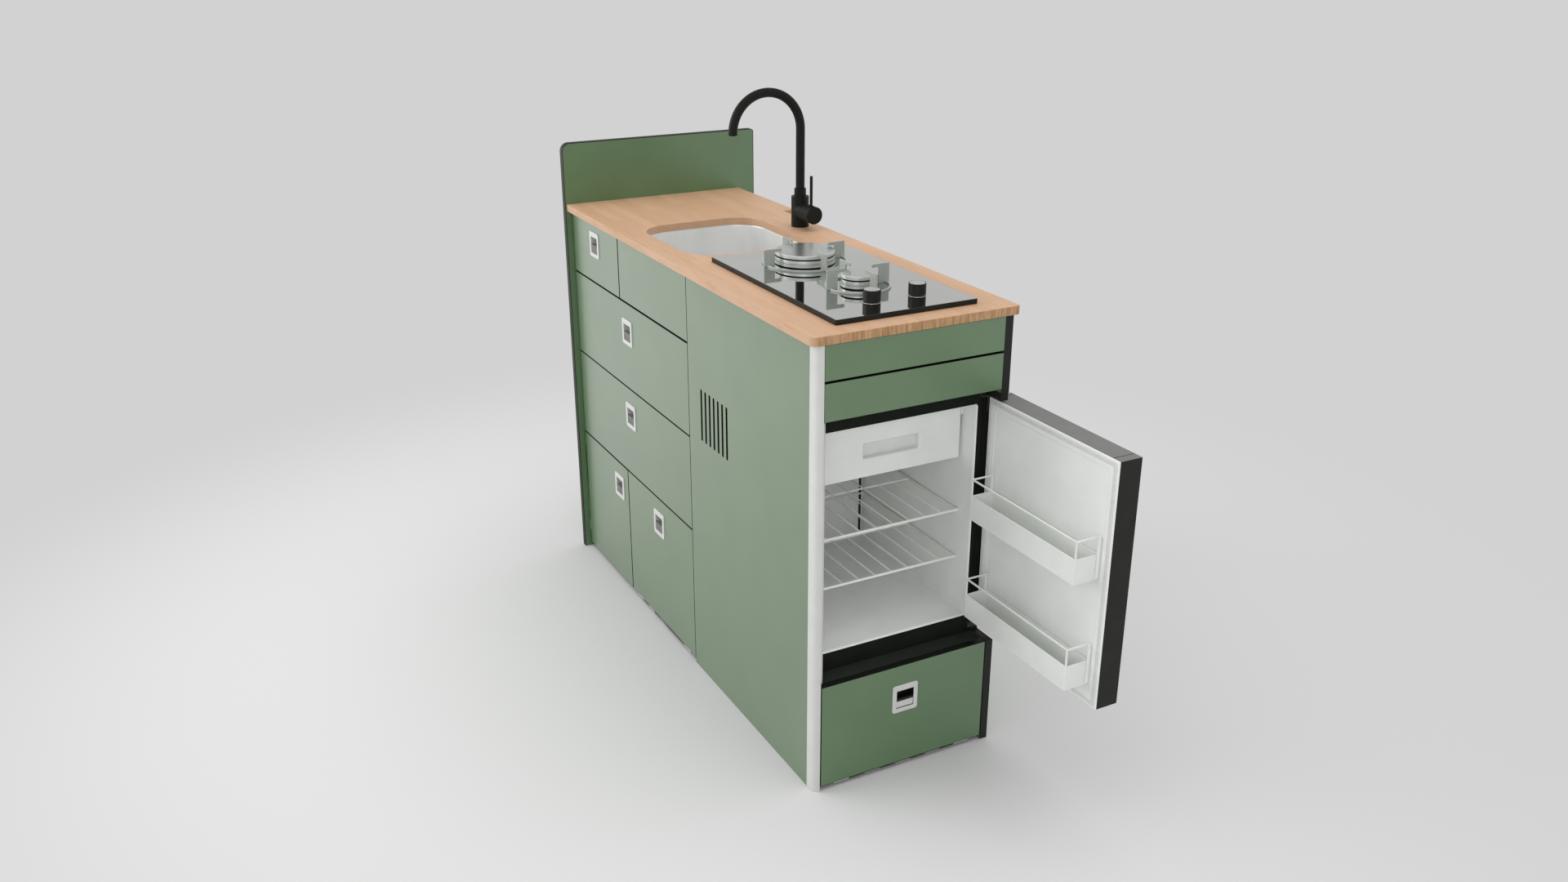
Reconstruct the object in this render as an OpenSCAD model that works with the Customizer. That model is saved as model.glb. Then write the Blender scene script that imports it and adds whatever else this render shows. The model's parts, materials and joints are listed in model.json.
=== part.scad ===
// Campervan kitchen pod: sink, two-burner hob and fridge in one long cabinet.
// Frame: +Z up, the drawer side faces -Y, the fridge end faces +X.
// Origin: on the floor, at the centre of the cabinet footprint. All sizes in mm.

/* [Cabinet] */
// Length from the outside of the tall end panel to the fridge end face
body_len = 1220; // [1120:1400]
// Depth from the drawer fronts to the outside of the back panel
body_depth = 398; // [390:440]
// Height of the top of the worktop above the floor
worktop_z = 900; // [880:950]
// Thickness of the cabinet panels and of the fronts
panel_t = 16; // [14:18]
// Gap from the floor to the lowest edge of the fronts
toe_gap = 10; // [6:14]
// Length of the fridge bay, at the right of the drawers
bay_len = 537; // [530:560]
// Gap between neighbouring fronts
front_gap = 3; // [2:4]
// Width of the white corner post on the drawer side
post_w = 28; // [24:34]
// Distance from the ends of a door or flap to its long hinge
hinge_end = 30; // [20:40]

/* [Tall end panel] */
// Height of the tall end panel
end_height = 1043; // [1000:1100]
// How far the tall panel stands in front of the fronts
end_front = 16; // [14:30]
// How far the tall panel stands behind the back panel
end_back = 87; // [50:100]
// Radius of its top front corner
end_round = 20; // [10:40]
// Radius of its top back corner
end_round_back = 8; // [4:20]
// Thickness of the black edging strip
trim_t = 1.6; // [1:2.4]

/* [Front layout] */
// Width of the narrow drawer and of the door under it
narrow_w = 294; // [280:320]
// Height of the gap line under the top row
row1_z = 740; // [735:744]
// Height of the gap line under the second row
row2_z = 537; // [520:550]
// Height of the gap line under the third row
row3_z = 323; // [310:340]
// Height of the ledge that the fridge stands on
ledge_z = 225; // [215:228]

/* [Worktop] */
// Thickness of the worktop
worktop_t = 16; // [14:19]
// Overhang in front of the drawer fronts
over_front = 12; // [6:14]
// Overhang past the fridge end face
over_end = 2; // [1:6]
// Overhang behind the back panel
over_back = 13; // [6:20]
// Overhang of the deeper part next to the tall panel
over_deep = 43; // [30:50]
// Length of the deeper part
deep_len = 302; // [260:320]
// Radius of the front right corner
worktop_round = 14; // [8:20]
// Radius of the back right corner
back_round = 6; // [3:10]

/* [Vents] */
// Number of vent slots
vent_count = 7; // [3:9]
// Distance between vent slots
vent_pitch = 19.5; // [16:21]
// Width of one vent slot
vent_w = 8; // [5:10]
// Height of one vent slot
vent_h = 111; // [80:120]
// Middle of the vent group, measured from the left edge of the vent panel
vent_mid = 120; // [100:130]
// Height of the middle of the slots
vent_z = 605; // [560:640]

/* [Sink] */
// Corner radius of the opening
sink_round = 70; // [50:90]
// Distance from the tall panel to the sink opening
sink_from_end = 311; // [308:318]
// Distance from the front plane to the sink opening
sink_from_front = 41; // [38:46]
// Distance from the sink opening to the middle of the bay wall
sink_to_bay = 46; // [44:60]
// Distance from the sink opening to the back plane
sink_from_back = 78; // [74:90]
// Depth of the bowl under the worktop
bowl_depth = 126; // [90:128]
// Sheet thickness of the bowl
bowl_t = 1.5; // [1:2]
// Radius of the drain fitting
waste_r = 34; // [28:40]

/* [Tap] */
// Radius of the tap base
tap_r = 19.5; // [19.2:21]
// Height of the tap base
tap_base_h = 67; // [60:72]
// Radius of the collar over the base
collar_r = 13; // [12.5:15]
// Height of the collar
collar_h = 17; // [12:22]
// Radius of the spout tube
tube_r = 9.8; // [8:11]
// Height of the middle of the spout bend above the worktop
bend_z = 212; // [190:230]
// Radius of the spout bend
bend_r = 81; // [70:90]
// Radius of the side housing
side_r = 19; // [18:19.1]
// Height of the axis of the side housing above the worktop
side_z = 35; // [30:38]
// Length of the side housing from the tap axis
side_len = 66; // [62:72]
// Height of the lever tip above the worktop
lever_z = 118; // [100:130]
// Radius of the lever rod
lever_r = 3.2; // [2.5:3.4]
// Radius of the threaded stem that goes through the worktop
tap_stem_r = 10; // [8:10.4]
// Distance from the back of the worktop to the tap axis
tap_from_back = 42; // [40:44]

/* [Hob] */
// Thickness of the glass with its seal
glass_t = 9.5; // [7:10]
// Distance from the fridge end face to the glass
glass_from_end = 43; // [38:48]
// Distance from the front plane to the glass
glass_from_front = 58; // [52:64]
// Distance from the glass to the back plane
glass_from_back = 48; // [46:60]
// How far the glass reaches past the middle of the bay wall
glass_over = 4; // [0:6]
// Free glass to the left of the large pan support
hob_left = 31.5; // [26:36]
// Share of the free glass that lies between the pan supports; the rest is before the knobs
gap_share = 0.7; // [0.6:0.75]
// Depth of the steel tray under the worktop surface, measured from its underside
tray_depth = 34; // [30:40]
// Distance from the right edge of the glass to the knobs
knob_right = 70; // [64:80]
// Distance from the middle of the glass to the front knob
knob_front = 33; // [28:40]
// Distance from the middle of the glass to the back knob
knob_back = 62; // [56:70]
// Radius of the large burner
burner_big = 60; // [54:62]
// Radius of the small burner
burner_small = 32; // [28:36]
// Height of the top of the burner caps above the glass
cap_h = 25; // [23:26]
// Outer radius of the large pan support
grid_big_r = 89.5; // [86:92]
// Outer radius of the small pan support
grid_small_r = 66.5; // [64:70]
// Radial width of the upright fins of the pan supports
fin_w = 23; // [20:25]
// Thickness of the pan support fins and of their ring
fin_t = 3; // [2.5:4]
// Length of the arms at the top of the fins
arm_len = 15; // [12:16]
// Height of those arms
arm_h = 6.5; // [5:7]
// Height of the dark gap under a burner cap
burner_gap = 1.6; // [1:2.2]
// Depth of that gap
burner_groove = 4; // [3:6]
// Thickness of a burner cap
cap_t = 8; // [6:9]
// Height of the large pan support above the glass
grid_big_h = 33; // [33:37]
// Height of the small pan support above the glass
grid_small_h = 37; // [33:40]
// Radius of a control knob
knob_r = 16; // [13:18]
// Height of the top of a control knob above the glass
knob_h = 23; // [19:26]
// Distance the knobs can be pushed in
knob_push = 2; // [1.5:2]

/* [Fridge] */
// Recess from the end face to the fridge front frame
recess = 50; // [49:54]
// Height of the fridge case
fridge_h = 518; // [514:520]
// Free space between the bay wall and the back of the fridge case
rear_gap = 9; // [6:40]
// Thickness of the open door
door_t = 45; // [40:46]
// How much narrower the door is than the fridge case
door_side = 6; // [5:10]
// How much lower the door is than the fridge case
door_less = 48; // [46:56]
// Width of the black frame beside the fridge opening
frame_side = 15.5; // [14.6:18]
// Height of the black frame over and under the fridge opening
frame_top = 41.5; // [40:44]
// Thickness of the insulated back of the fridge, from its inside to its outside
back_wall = 72; // [60:90]
// Distance from the front frame to the front bar of a wire shelf
shelf_in = 38; // [34:44]
// Distance from the front frame to the freezer flap
flap_in = 40; // [36:46]
// Width of the finger recess of the freezer flap
grip_w = 120; // [90:140]
// Height of that recess
grip_h = 30; // [22:34]
// Depth of that recess
grip_deep = 24; // [12:26]
// Height of the middle of that recess above the lower edge of the flap
grip_up = 51; // [40:56]
// Thickness of the inner plastic walls
inner_t = 3; // [2:4]
// Height of the freezer flap
flap_h = 96; // [90:98]
// Height of the upper wire shelf, as a share of the opening
shelf_high = 0.484; // [0.47:0.5]
// Height of the lower wire shelf, as a share of the opening
shelf_low = 0.254; // [0.24:0.26]
// Diameter of the shelf wires
wire_d = 3.6; // [3:4]
// Depth of a door bin
bin_d = 51; // [46:53]
// Height of a door bin
bin_h = 48; // [44:50]
// Height of the upper bin above the upper shelf
bin_up = 16; // [12:20]
// Height of the lower bin above the bottom of the opening
bin_gap = 20.5; // [16:24]
// Distance from the edge of the door to a bin
bin_side = 28; // [27:34]
// Height of the keeper rail over a bin
rail_gap = 34; // [30:38]
// Thickness of the keeper rail and its posts
rail_t = 3; // [2.5:4]
// Thickness of the front bar of a wire shelf
bar_d = 5; // [4:6]

/* [Drawers and latches] */
// Thickness of the drawer box sides
box_t = 10; // [8:12]
// Free space behind the drawer boxes
box_back = 36; // [30:60]
// Height of a drawer box, as a share of its row
box_fill = 0.68; // [0.5:0.7]
// Running gap under a drawer box
run_gap = 0.2; // [0.1:0.3]
// Width of a latch frame
latch_w = 56; // [54:60]
// Height of a latch frame
latch_h = 59; // [57:62]
// Border width of a latch frame
latch_rim = 9; // [8:9.5]
// Corner radius of a latch frame
latch_round = 5; // [3:7]
// Height of the latch paddle
paddle_h = 20; // [18:21]
// Radial gap in the small pivots
pivot_gap = 0.05; // [0.03:0.08]

/* [Hidden] */
$fn = 64;
e = 0.01;
x1 = body_len/2;
x0 = -x1;
xi = x0 + panel_t;
xb = x1 - bay_len;
xn = xi + narrow_w;
yf = -body_depth/2;
yi = yf + panel_t;
yb = body_depth/2;
yj = yb - panel_t;
zt = worktop_z - worktop_t;
core_t = 12;
half_gap = front_gap/2;
floor_z = toe_gap - 0.4;
wall_a = xb - 8;
wall_b = xb + 8;
post_r = panel_t - 3;
post_x = x1 - post_w;
post_y = yf + post_r;
// fridge
fx = x1 - recess;
fy = (yi + yj)/2;
case_w = (yj - yi) - 4;
case_top = ledge_z + fridge_h;
fridge_d = fx - wall_b - rear_gap;
inner_d = fridge_d - back_wall;
open_w = case_w - 2*frame_side;
open_h = fridge_h - 2*frame_top;
open_y0 = fy + 0.5 - open_w/2;
open_y1 = open_y0 + open_w;
open_z0 = ledge_z + frame_top;
open_z1 = open_z0 + open_h;
shelf1_z = open_z0 + shelf_high*open_h;
shelf2_z = open_z0 + shelf_low*open_h;
notch_top = case_top - 6;
fascia_mid = case_top + 3 + (zt - case_top - 3)*0.52;
// door, drawn open by a quarter turn about the pin line (pin_x, pin_y)
pin_r = 2.2;
knuckle_r = 4.3;
pin_x = fx + knuckle_r + 0.2;
pin_y = yj + 6.5;
seal_t = 1.8;
liner_t = 3;
door_w = case_w - door_side;
door_h = fridge_h - door_less;
door_x0 = pin_x + 5.5;
door_x1 = door_x0 + door_w;
// the closed inner face stands seal_t + 0.2 in front of the frame
door_y0 = pin_y + (fx + seal_t + 0.2 - pin_x);
door_y1 = door_y0 + liner_t + door_t;
door_z0 = (open_z0 + open_z1)/2 - door_h/2;
door_z1 = door_z0 + door_h;
bin_x0 = door_x0 + bin_side;
bin_x1 = door_x1 - bin_side;
bin1_z = shelf1_z + bin_up;
bin2_z = open_z0 + bin_gap;
rail_up = bin_h + rail_gap;
// freezer
flap_x = fx - flap_in;
flap_t = 10;
flap_pin = flap_x - 7.5;
flap_z0 = open_z1 - flap_h - 20;
shelf_x1 = fx - shelf_in;
// sink
sx0 = xi + sink_from_end;
sx1 = xb - sink_to_bay;
sy0 = yf + sink_from_front;
sy1 = yb - sink_from_back;
scx = (sx0 + sx1)/2;
scy = (sy0 + sy1)/2;
bowl_z = zt - bowl_depth;
// hob
gx1 = x1 - glass_from_end;
gx0 = xb - glass_over;
gy0 = yf + glass_from_front;
gy1 = yb - glass_from_back;
gz = worktop_z + glass_t;
gcy = (gy0 + gy1)/2;
knob_x = gx1 - knob_right;
big_x = gx0 + hob_left + grid_big_r;
hob_spare = knob_x - knob_r - big_x - grid_big_r - 2*grid_small_r;
small_x = big_x + grid_big_r + gap_share*hob_spare + grid_small_r;
knob_y1 = gcy - knob_front;
knob_y2 = gcy + knob_back;
stem_r = 4;
// tap
tap_x = scx - 5;
tap_y = yb + over_back - tap_from_back;
side_axis_z = worktop_z + side_z;
lever_x = tap_x + side_len - 16;
hub_x0 = tap_x + side_len - 36;
// rows: [z0, z1] of each cell
row_top = zt;
// drawer boxes: floor height of each
runner_w = 12;
box_a_z = row1_z + core_t/2 + 6;
box_b_z = row2_z + core_t/2 + 6;
box_c_z = row3_z + core_t/2 + 6;
box_y1 = yj - box_back;
// latch
lin_w = latch_w - 2*latch_rim;
lin_h = latch_h - 2*latch_rim;
cup_t = 1.5;
cup_d = panel_t + 3;
lip_t = 2;
cut_gap = 0.3;
paddle_t = 3;
paddle_w = lin_w - 0.8;
ppin_r = 1.4;
paddle_pz = -lin_h/2 + 4;
la_x = (xi + xn)/2;
la_z = row_top - 23 - latch_h/2;
lb_x = (xi + xb)/2;
lb_z = row1_z - 39 - latch_h/2;
lc_z = row2_z - 37 - latch_h/2;
ld_x = xn - 28 - latch_w/2;
ld_z = row3_z - 33 - latch_h/2;
le_x = (xn + xb)/2;
lf_y = (post_y + yj)/2;
lf_z = ledge_z - 42 - latch_h/2;
// long hinges
hinge_r = 1.5;
hinge_pin = 0.75;
hinge_seg = 9;
len_d = row3_z - toe_gap - 2*hinge_end;
len_e = xb - xn - 2*hinge_end;
len_f = yj - post_y - 2*hinge_end;
hinge_d_z = (row3_z + toe_gap)/2 + 6;

// a box from its lowest to its highest corner
module bx(a, b)
{
  translate(a) cube([b[0] - a[0], b[1] - a[1], b[2] - a[2]]);
}

// a rounded rectangle from corner to corner, with true arcs
module rr(a, b, r)
{
  translate([a[0] + r, a[1]]) square([b[0] - a[0] - 2*r, b[1] - a[1]]);
  translate([a[0], a[1] + r]) square([b[0] - a[0], b[1] - a[1] - 2*r]);
  for (x = [a[0] + r, b[0] - r])
    for (y = [a[1] + r, b[1] - r])
      translate([x, y]) circle(r = r);
}

// a slab with a rounded outline
module rslab(a, b, r, z0, z1)
{
  translate([0, 0, z0]) linear_extrude(z1 - z0) rr(a, b, r);
}

// a rod between two points on a line along x, y or z
module rodx(x0, x1, y, z, r) { translate([x0, y, z]) rotate([0, 90, 0]) cylinder(h = x1 - x0, r = r); }
module rody(y0, y1, x, z, r) { translate([x, y1, z]) rotate([90, 0, 0]) cylinder(h = y1 - y0, r = r); }
module rodz(z0, z1, x, y, r) { translate([x, y, z0]) cylinder(h = z1 - z0, r = r); }

// outline of the tall panel in (y, z), smaller by s at the front, top and back
module end_outline(s)
{
  r1 = end_round - s;
  r2 = end_round_back - s;
  ya = yf - end_front + s;
  yc = yb + end_back - s;
  zc = end_height - s;
  translate([ya, 0]) square([yc - ya, zc - max(r1, r2)]);
  translate([ya + r1, 0]) square([yc - ya - r1 - r2, zc]);
  translate([ya + r1, zc - r1]) circle(r = r1);
  translate([yc - r2, zc - r2]) circle(r = r2);
  translate([yc - max(r1, r2), 0]) square([max(r1, r2), zc - r2]);
}

module end_slab(s)
{
  translate([x0, 0, 0]) rotate([90, 0, 90]) linear_extrude(panel_t) end_outline(s);
}

module end_panel()
{
  color("#60785A") end_slab(trim_t);
}

// black edging: round the tall panel, and on the open edges and notch of the back panel
module edge_trim()
{
  nx = fx - 2;
  color("#242621") {
    translate([x0, 0, 0]) rotate([90, 0, 90]) linear_extrude(panel_t) difference() {
      end_outline(0);
      end_outline(trim_t);
      translate([0, -1]) end_outline(trim_t);
    }
    bx([x1 - trim_t, yj, 0], [x1, yb, ledge_z]);
    bx([x1 - trim_t, yj, notch_top], [x1, yb, zt]);
    bx([nx - trim_t, yj, ledge_z - trim_t], [x1 - trim_t, yb, ledge_z]);
    bx([nx - trim_t, yj, notch_top], [x1 - trim_t, yb, notch_top + trim_t]);
    bx([nx - trim_t, yj, ledge_z], [nx, yb, notch_top]);
  }
}

module back_panel()
{
  color("#60785A") difference() {
    bx([xi, yj, 0], [x1 - trim_t, yb, zt]);
    bx([fx - 2 - trim_t, yj - 1, ledge_z - trim_t], [x1 + 1, yb + 1, notch_top + trim_t]);
  }
}

module vent_panel()
{
  color("#9AA897") difference() {
    bx([xb, yf, 0], [post_x, yi, zt]);
    for (i = [0 : vent_count - 1])
      translate([xb + vent_mid + (i - (vent_count - 1)/2)*vent_pitch, 0, vent_z])
        rotate([90, 0, 0]) translate([0, 0, -yi - 1]) linear_extrude(panel_t + 2)
          rr([-vent_w/2, -vent_h/2], [vent_w/2, vent_h/2], vent_w/2 - e);
  }
}

module corner_post()
{
  color("#D4D4D2") linear_extrude(zt) {
    translate([post_x, yf]) square([x1 - post_x - post_r, post_r]);
    intersection() {
      translate([x1 - post_r, post_y]) circle(r = post_r);
      translate([x1 - post_r, yf]) square([post_r, post_r]);
    }
    translate([post_x, post_y - e]) square([x1 - panel_t - post_x, 12]);
    translate([post_x - 16, yi]) square([20, 9]);
  }
}

// space that the corner post and its inner flange take up
module post_space()
{
  translate([post_x - 17, yi - 10, -1]) cube([60, 20, worktop_z + 2]);
}

// plywood inside: floor on three battens, bay wall, dividers and rails
module carcass_core()
{
  color("#C9AE8A") {
    difference() {
      bx([xi, yi + 2, floor_z], [x1 - panel_t - 2, yj, floor_z + core_t]);
      post_space();
    }
    for (x = [xi + 20, 0, x1 - 70])
      bx([x - 12, yi + 26, 0], [x + 12, yj - 10, floor_z]);
    bx([wall_a, yi, floor_z + core_t], [wall_b, yj, zt]);
    for (z = [row1_z, row2_z, row3_z])
      bx([xi, yi, z - core_t/2], [wall_a, yi + 40, z + core_t/2]);
    bx([xi, yi, zt - 18], [wall_a, yi + core_t, zt]);
    bx([xn - core_t/2, yi + core_t, row1_z - core_t/2], [xn + core_t/2, yj, zt - 3]);
    bx([xn - core_t/2, yi, floor_z + core_t], [xn + core_t/2, yj, row3_z - core_t/2]);
  }
}

module bay_shelf()
{
  color("#242621") difference() {
    bx([wall_b, yi, ledge_z - panel_t], [x1 - panel_t, yj, ledge_z]);
    post_space();
  }
}

module end_fascias()
{
  color("#60785A") {
    bx([x1 - panel_t, post_y, fascia_mid + half_gap], [x1, yj, zt]);
    bx([x1 - panel_t, post_y, case_top + 3], [x1, yj, fascia_mid - half_gap]);
  }
}

module worktop()
{
  ya = yf - over_front;
  yc = yb + over_back;
  color("#C9A583") difference() {
    translate([0, 0, zt]) linear_extrude(worktop_t) {
      difference() {
        translate([xi, ya]) square([x1 + over_end - xi, yc - ya]);
        translate([x1 + over_end - worktop_round, ya - 1])
          square([worktop_round + 1, worktop_round + 1]);
        translate([x1 + over_end - back_round, yc - back_round])
          square([back_round + 1, back_round + 1]);
      }
      translate([x1 + over_end - worktop_round, ya + worktop_round]) circle(r = worktop_round);
      translate([x1 + over_end - back_round, yc - back_round]) circle(r = back_round);
      translate([xi, yc - 1]) square([deep_len, over_deep - over_back + 1]);
    }
    rslab([sx0, sy0], [sx1, sy1], sink_round, zt - 1, worktop_z + 1);
    bx([gx0 + 14, gy0 + 14, zt - 1], [gx1 - 14, gy1 - 14, worktop_z + 1]);
    rodz(zt - 1, worktop_z + 1, tap_x, tap_y, tap_stem_r + 0.3);
  }
}

// angle runner at the left or right of a drawer box
module runner(x, dir, z)
{
  xa = dir > 0 ? x : x - runner_w - 8;
  xc = dir > 0 ? x + runner_w + 8 : x;
  xw = dir > 0 ? x : x - 2;
  bx([xa, yi + 40, z - run_gap - 2], [xc, box_y1 + 4, z - run_gap]);
  bx([xw, yi + 40, z - run_gap - 2], [xw + 2, box_y1 + 4, z + 28]);
}

module runners()
{
  color("#B9BCBE") {
    runner(xi, 1, box_a_z);
    runner(xn - core_t/2, -1, box_a_z);
    runner(xi, 1, box_b_z);
    runner(wall_a, -1, box_b_z);
    runner(xi, 1, box_c_z);
    runner(wall_a, -1, box_c_z);
  }
}

module sink_bowl()
{
  g = 2;
  color("#C4C6C6") difference() {
    union() {
      rslab([sx0 - 10, sy0 - 10], [sx1 + 10, sy1 + 10], sink_round + 10, zt - bowl_t, zt);
      rslab([sx0 - g - bowl_t, sy0 - g - bowl_t], [sx1 + g + bowl_t, sy1 + g + bowl_t],
        sink_round + g + bowl_t, bowl_z + 14, zt);
      rslab([sx0 + 6 - bowl_t, sy0 + 6 - bowl_t], [sx1 - 6 + bowl_t, sy1 - 6 + bowl_t],
        sink_round - 6 + bowl_t, bowl_z + 5, bowl_z + 15);
      rslab([sx0 + 14 - bowl_t, sy0 + 14 - bowl_t], [sx1 - 14 + bowl_t, sy1 - 14 + bowl_t],
        sink_round - 14 + bowl_t, bowl_z - bowl_t, bowl_z + 6);
    }
    rslab([sx0 - g, sy0 - g], [sx1 + g, sy1 + g], sink_round + g, bowl_z + 15.5, zt + 1);
    rslab([sx0 + 6, sy0 + 6], [sx1 - 6, sy1 - 6], sink_round - 6, bowl_z + 6.5, bowl_z + 16);
    rslab([sx0 + 14, sy0 + 14], [sx1 - 14, sy1 - 14], sink_round - 14, bowl_z, bowl_z + 7);
    rodz(bowl_z - 3, bowl_z + 1, scx, scy, waste_r - 6);
  }
}

// drain fitting with a seat for the plug and a tail under the bowl
module sink_waste()
{
  color("#D6D8D8") difference() {
    union() {
      rodz(bowl_z, bowl_z + 1.5, scx, scy, waste_r);
      rodz(bowl_z - 16, bowl_z + 1, scx, scy, waste_r - 6.3);
      rodz(bowl_z - 38, bowl_z - 15, scx, scy, 17);
    }
    rodz(bowl_z - 13, bowl_z + 2, scx, scy, waste_r - 9);
    rodz(bowl_z - 39, bowl_z - 12, scx, scy, 14);
  }
}

module tap_body()
{
  z1 = worktop_z + tap_base_h;
  z2 = z1 + collar_h;
  color("#242621") difference() {
    union() {
      rodz(worktop_z, z1, tap_x, tap_y, tap_r);
      rodz(z1 - e, z2, tap_x, tap_y, collar_r);
      rodz(zt - 34, worktop_z + 1, tap_x, tap_y, tap_stem_r);
      rodz(zt - 10, zt, tap_x, tap_y, tap_stem_r + 2.5);
      rodx(tap_x, hub_x0 - 0.4, tap_y, side_axis_z, side_r);
      rodx(hub_x0 - 1, hub_x0 + 8, tap_y, side_axis_z, side_r - 8);
    }
    rodz(z1 - 24, z2 + 1, tap_x, tap_y, tube_r - 2 + pivot_gap);
  }
}

// spout: spigot in the collar, upright tube and half-circle bend towards the drawer side
module tap_spout()
{
  z0 = worktop_z + tap_base_h + collar_h;
  zb = worktop_z + bend_z;
  color("#242621") difference() {
    union() {
      rodz(z0 - 22, z0 + 2, tap_x, tap_y, tube_r - 2);
      rodz(z0 + 0.2, zb, tap_x, tap_y, tube_r);
      translate([tap_x, tap_y - bend_r, zb]) rotate([90, 0, 90])
        rotate_extrude(angle = 180) translate([bend_r, 0]) circle(r = tube_r);
      rodz(zb - 3, zb, tap_x, tap_y - 2*bend_r, tube_r);
    }
    rodz(zb - 4, zb + 0.5, tap_x, tap_y - 2*bend_r, tube_r - 2);
  }
}

// turning end of the side housing, slotted for the lever
module tap_hub()
{
  color("#242621") difference() {
    rodx(hub_x0, tap_x + side_len, tap_y, side_axis_z, side_r);
    rodx(hub_x0 - 1, hub_x0 + 8.6, tap_y, side_axis_z, side_r - 8 + pivot_gap);
    translate([lever_x - lever_r - 1, tap_y - lever_r - 0.4, side_axis_z - 6])
      cube([lever_r*2 + 11, lever_r*2 + 0.8, side_r + 8]);
    rody(tap_y - 14, tap_y + 14, lever_x, side_axis_z, 2 + pivot_gap);
  }
}

module tap_lever()
{
  color("#242621") {
    rodz(side_axis_z, worktop_z + lever_z, lever_x, tap_y, lever_r);
    rody(tap_y - 13, tap_y + 13, lever_x, side_axis_z, 2);
  }
}

module hob_glass()
{
  color("#242621") difference() {
    bx([gx0, gy0, worktop_z], [gx1, gy1, gz]);
    rodz(worktop_z - 1, gz + 1, big_x, gcy, burner_big - 13.7);
    rodz(worktop_z - 1, gz + 1, small_x, gcy, burner_small - 9.7);
    for (y = [knob_y1, knob_y2])
      rodz(worktop_z - 1, gz + 1, knob_x, y, stem_r + pivot_gap);
  }
}

// pressed steel tray under the glass
module hob_tray()
{
  t = 1.5;
  color("#B4B6B6") difference() {
    bx([gx0 + 16, gy0 + 16, zt - tray_depth], [gx1 - 16, gy1 - 16, worktop_z]);
    bx([gx0 + 16 + t, gy0 + 16 + t, zt - tray_depth + t], [gx1 - 16 - t, gy1 - 16 - t, worktop_z + 1]);
  }
}

// one burner: stem, base ring, dark groove, upper ring and a narrow seat for the cap
module burner_head(x, r, stem)
{
  zs = cap_h - cap_t;
  zb = zs/2 - burner_gap;
  n = r - burner_groove;
  translate([x, gcy, gz]) rotate_extrude() polygon([[0, -14], [stem, -14], [stem, 0], [r - 1, 0],
    [r, 1], [r, zb], [n, zb], [n, zb + burner_gap], [r - 1, zb + burner_gap],
    [r - 1, zs - burner_gap - 0.8], [r - 1.8, zs - burner_gap], [n, zs - burner_gap], [n, zs], [0, zs]]);
}

module burner_heads()
{
  color("#B9BBBA") {
    burner_head(big_x, burner_big, burner_big - 14);
    burner_head(small_x, burner_small, burner_small - 10);
  }
}

module burner_cap(x, r)
{
  zs = cap_h - cap_t;
  translate([x, gcy, gz]) rotate_extrude() polygon([[0, zs], [r - 0.8, zs], [r, zs + 0.8],
    [r, cap_h - 1.6], [r - 1.6, cap_h], [0, cap_h]]);
}

module cap_large() { color("#C6C8C7") burner_cap(big_x, burner_big - 1); }
module cap_small() { color("#C6C8C7") burner_cap(small_x, burner_small); }

// pan support: a flat ring on the glass and four fins with arms that point inwards
module grid(x, r, h)
{
  translate([x, gcy, gz]) {
    difference() {
      cylinder(h = fin_t + 0.5, r = r - 5);
      translate([0, 0, -1]) cylinder(h = fin_t + 3, r = r - 5 - fin_t - 1);
    }
    for (a = [0 : 90 : 270])
      rotate([0, 0, a]) rotate([90, 0, 0]) translate([0, 0, -fin_t/2]) linear_extrude(fin_t)
        polygon([[r - fin_w, 0], [r, 0], [r, h - 1], [r - 1, h], [r - fin_w - arm_len + 1.5, h],
          [r - fin_w - arm_len, h - 1.5], [r - fin_w - arm_len, h - arm_h], [r - fin_w, h - arm_h]]);
  }
}

module grid_large() { color("#C2C4C3") grid(big_x, grid_big_r, grid_big_h); }
module grid_small() { color("#C2C4C3") grid(small_x, grid_small_r, grid_small_h); }

// push-and-turn knob with a disc top
module knob(y)
{
  zk = gz + knob_push + 0.6;
  translate([knob_x, y, 0]) difference() {
    translate([0, 0, 0]) rotate_extrude() polygon([[0, zk], [knob_r, zk], [knob_r, gz + knob_h - 0.8],
      [knob_r - 0.8, gz + knob_h], [0, gz + knob_h]]);
    rodz(zk - 1, gz + knob_h - 5, 0, 0, stem_r + pivot_gap);
  }
}

module knob_large() { color("#242621") knob(knob_y1); }
module knob_small() { color("#242621") knob(knob_y2); }

module spindle(y)
{
  rodz(zt - 20, gz + knob_h - 5.2, knob_x, y, stem_r);
  rodz(zt - 20, zt - 16, knob_x, y, 9);
}

module spindle_large() { color("#B0B2B2") spindle(knob_y1); }
module spindle_small() { color("#B0B2B2") spindle(knob_y2); }

// outer case: thin walls and a black frame round the opening
module fridge_case()
{
  ya = fy - case_w/2;
  yc = fy + case_w/2;
  t = 2;
  color("#242621") difference() {
    bx([fx - fridge_d, ya, ledge_z], [fx, yc, case_top]);
    bx([fx - fridge_d + t, ya + t, ledge_z + t], [fx - 4, yc - t, case_top - t]);
    bx([fx - 5, open_y0 - inner_t, open_z0 - inner_t], [fx + 1, open_y1 + inner_t, open_z1 + inner_t]);
  }
}

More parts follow.
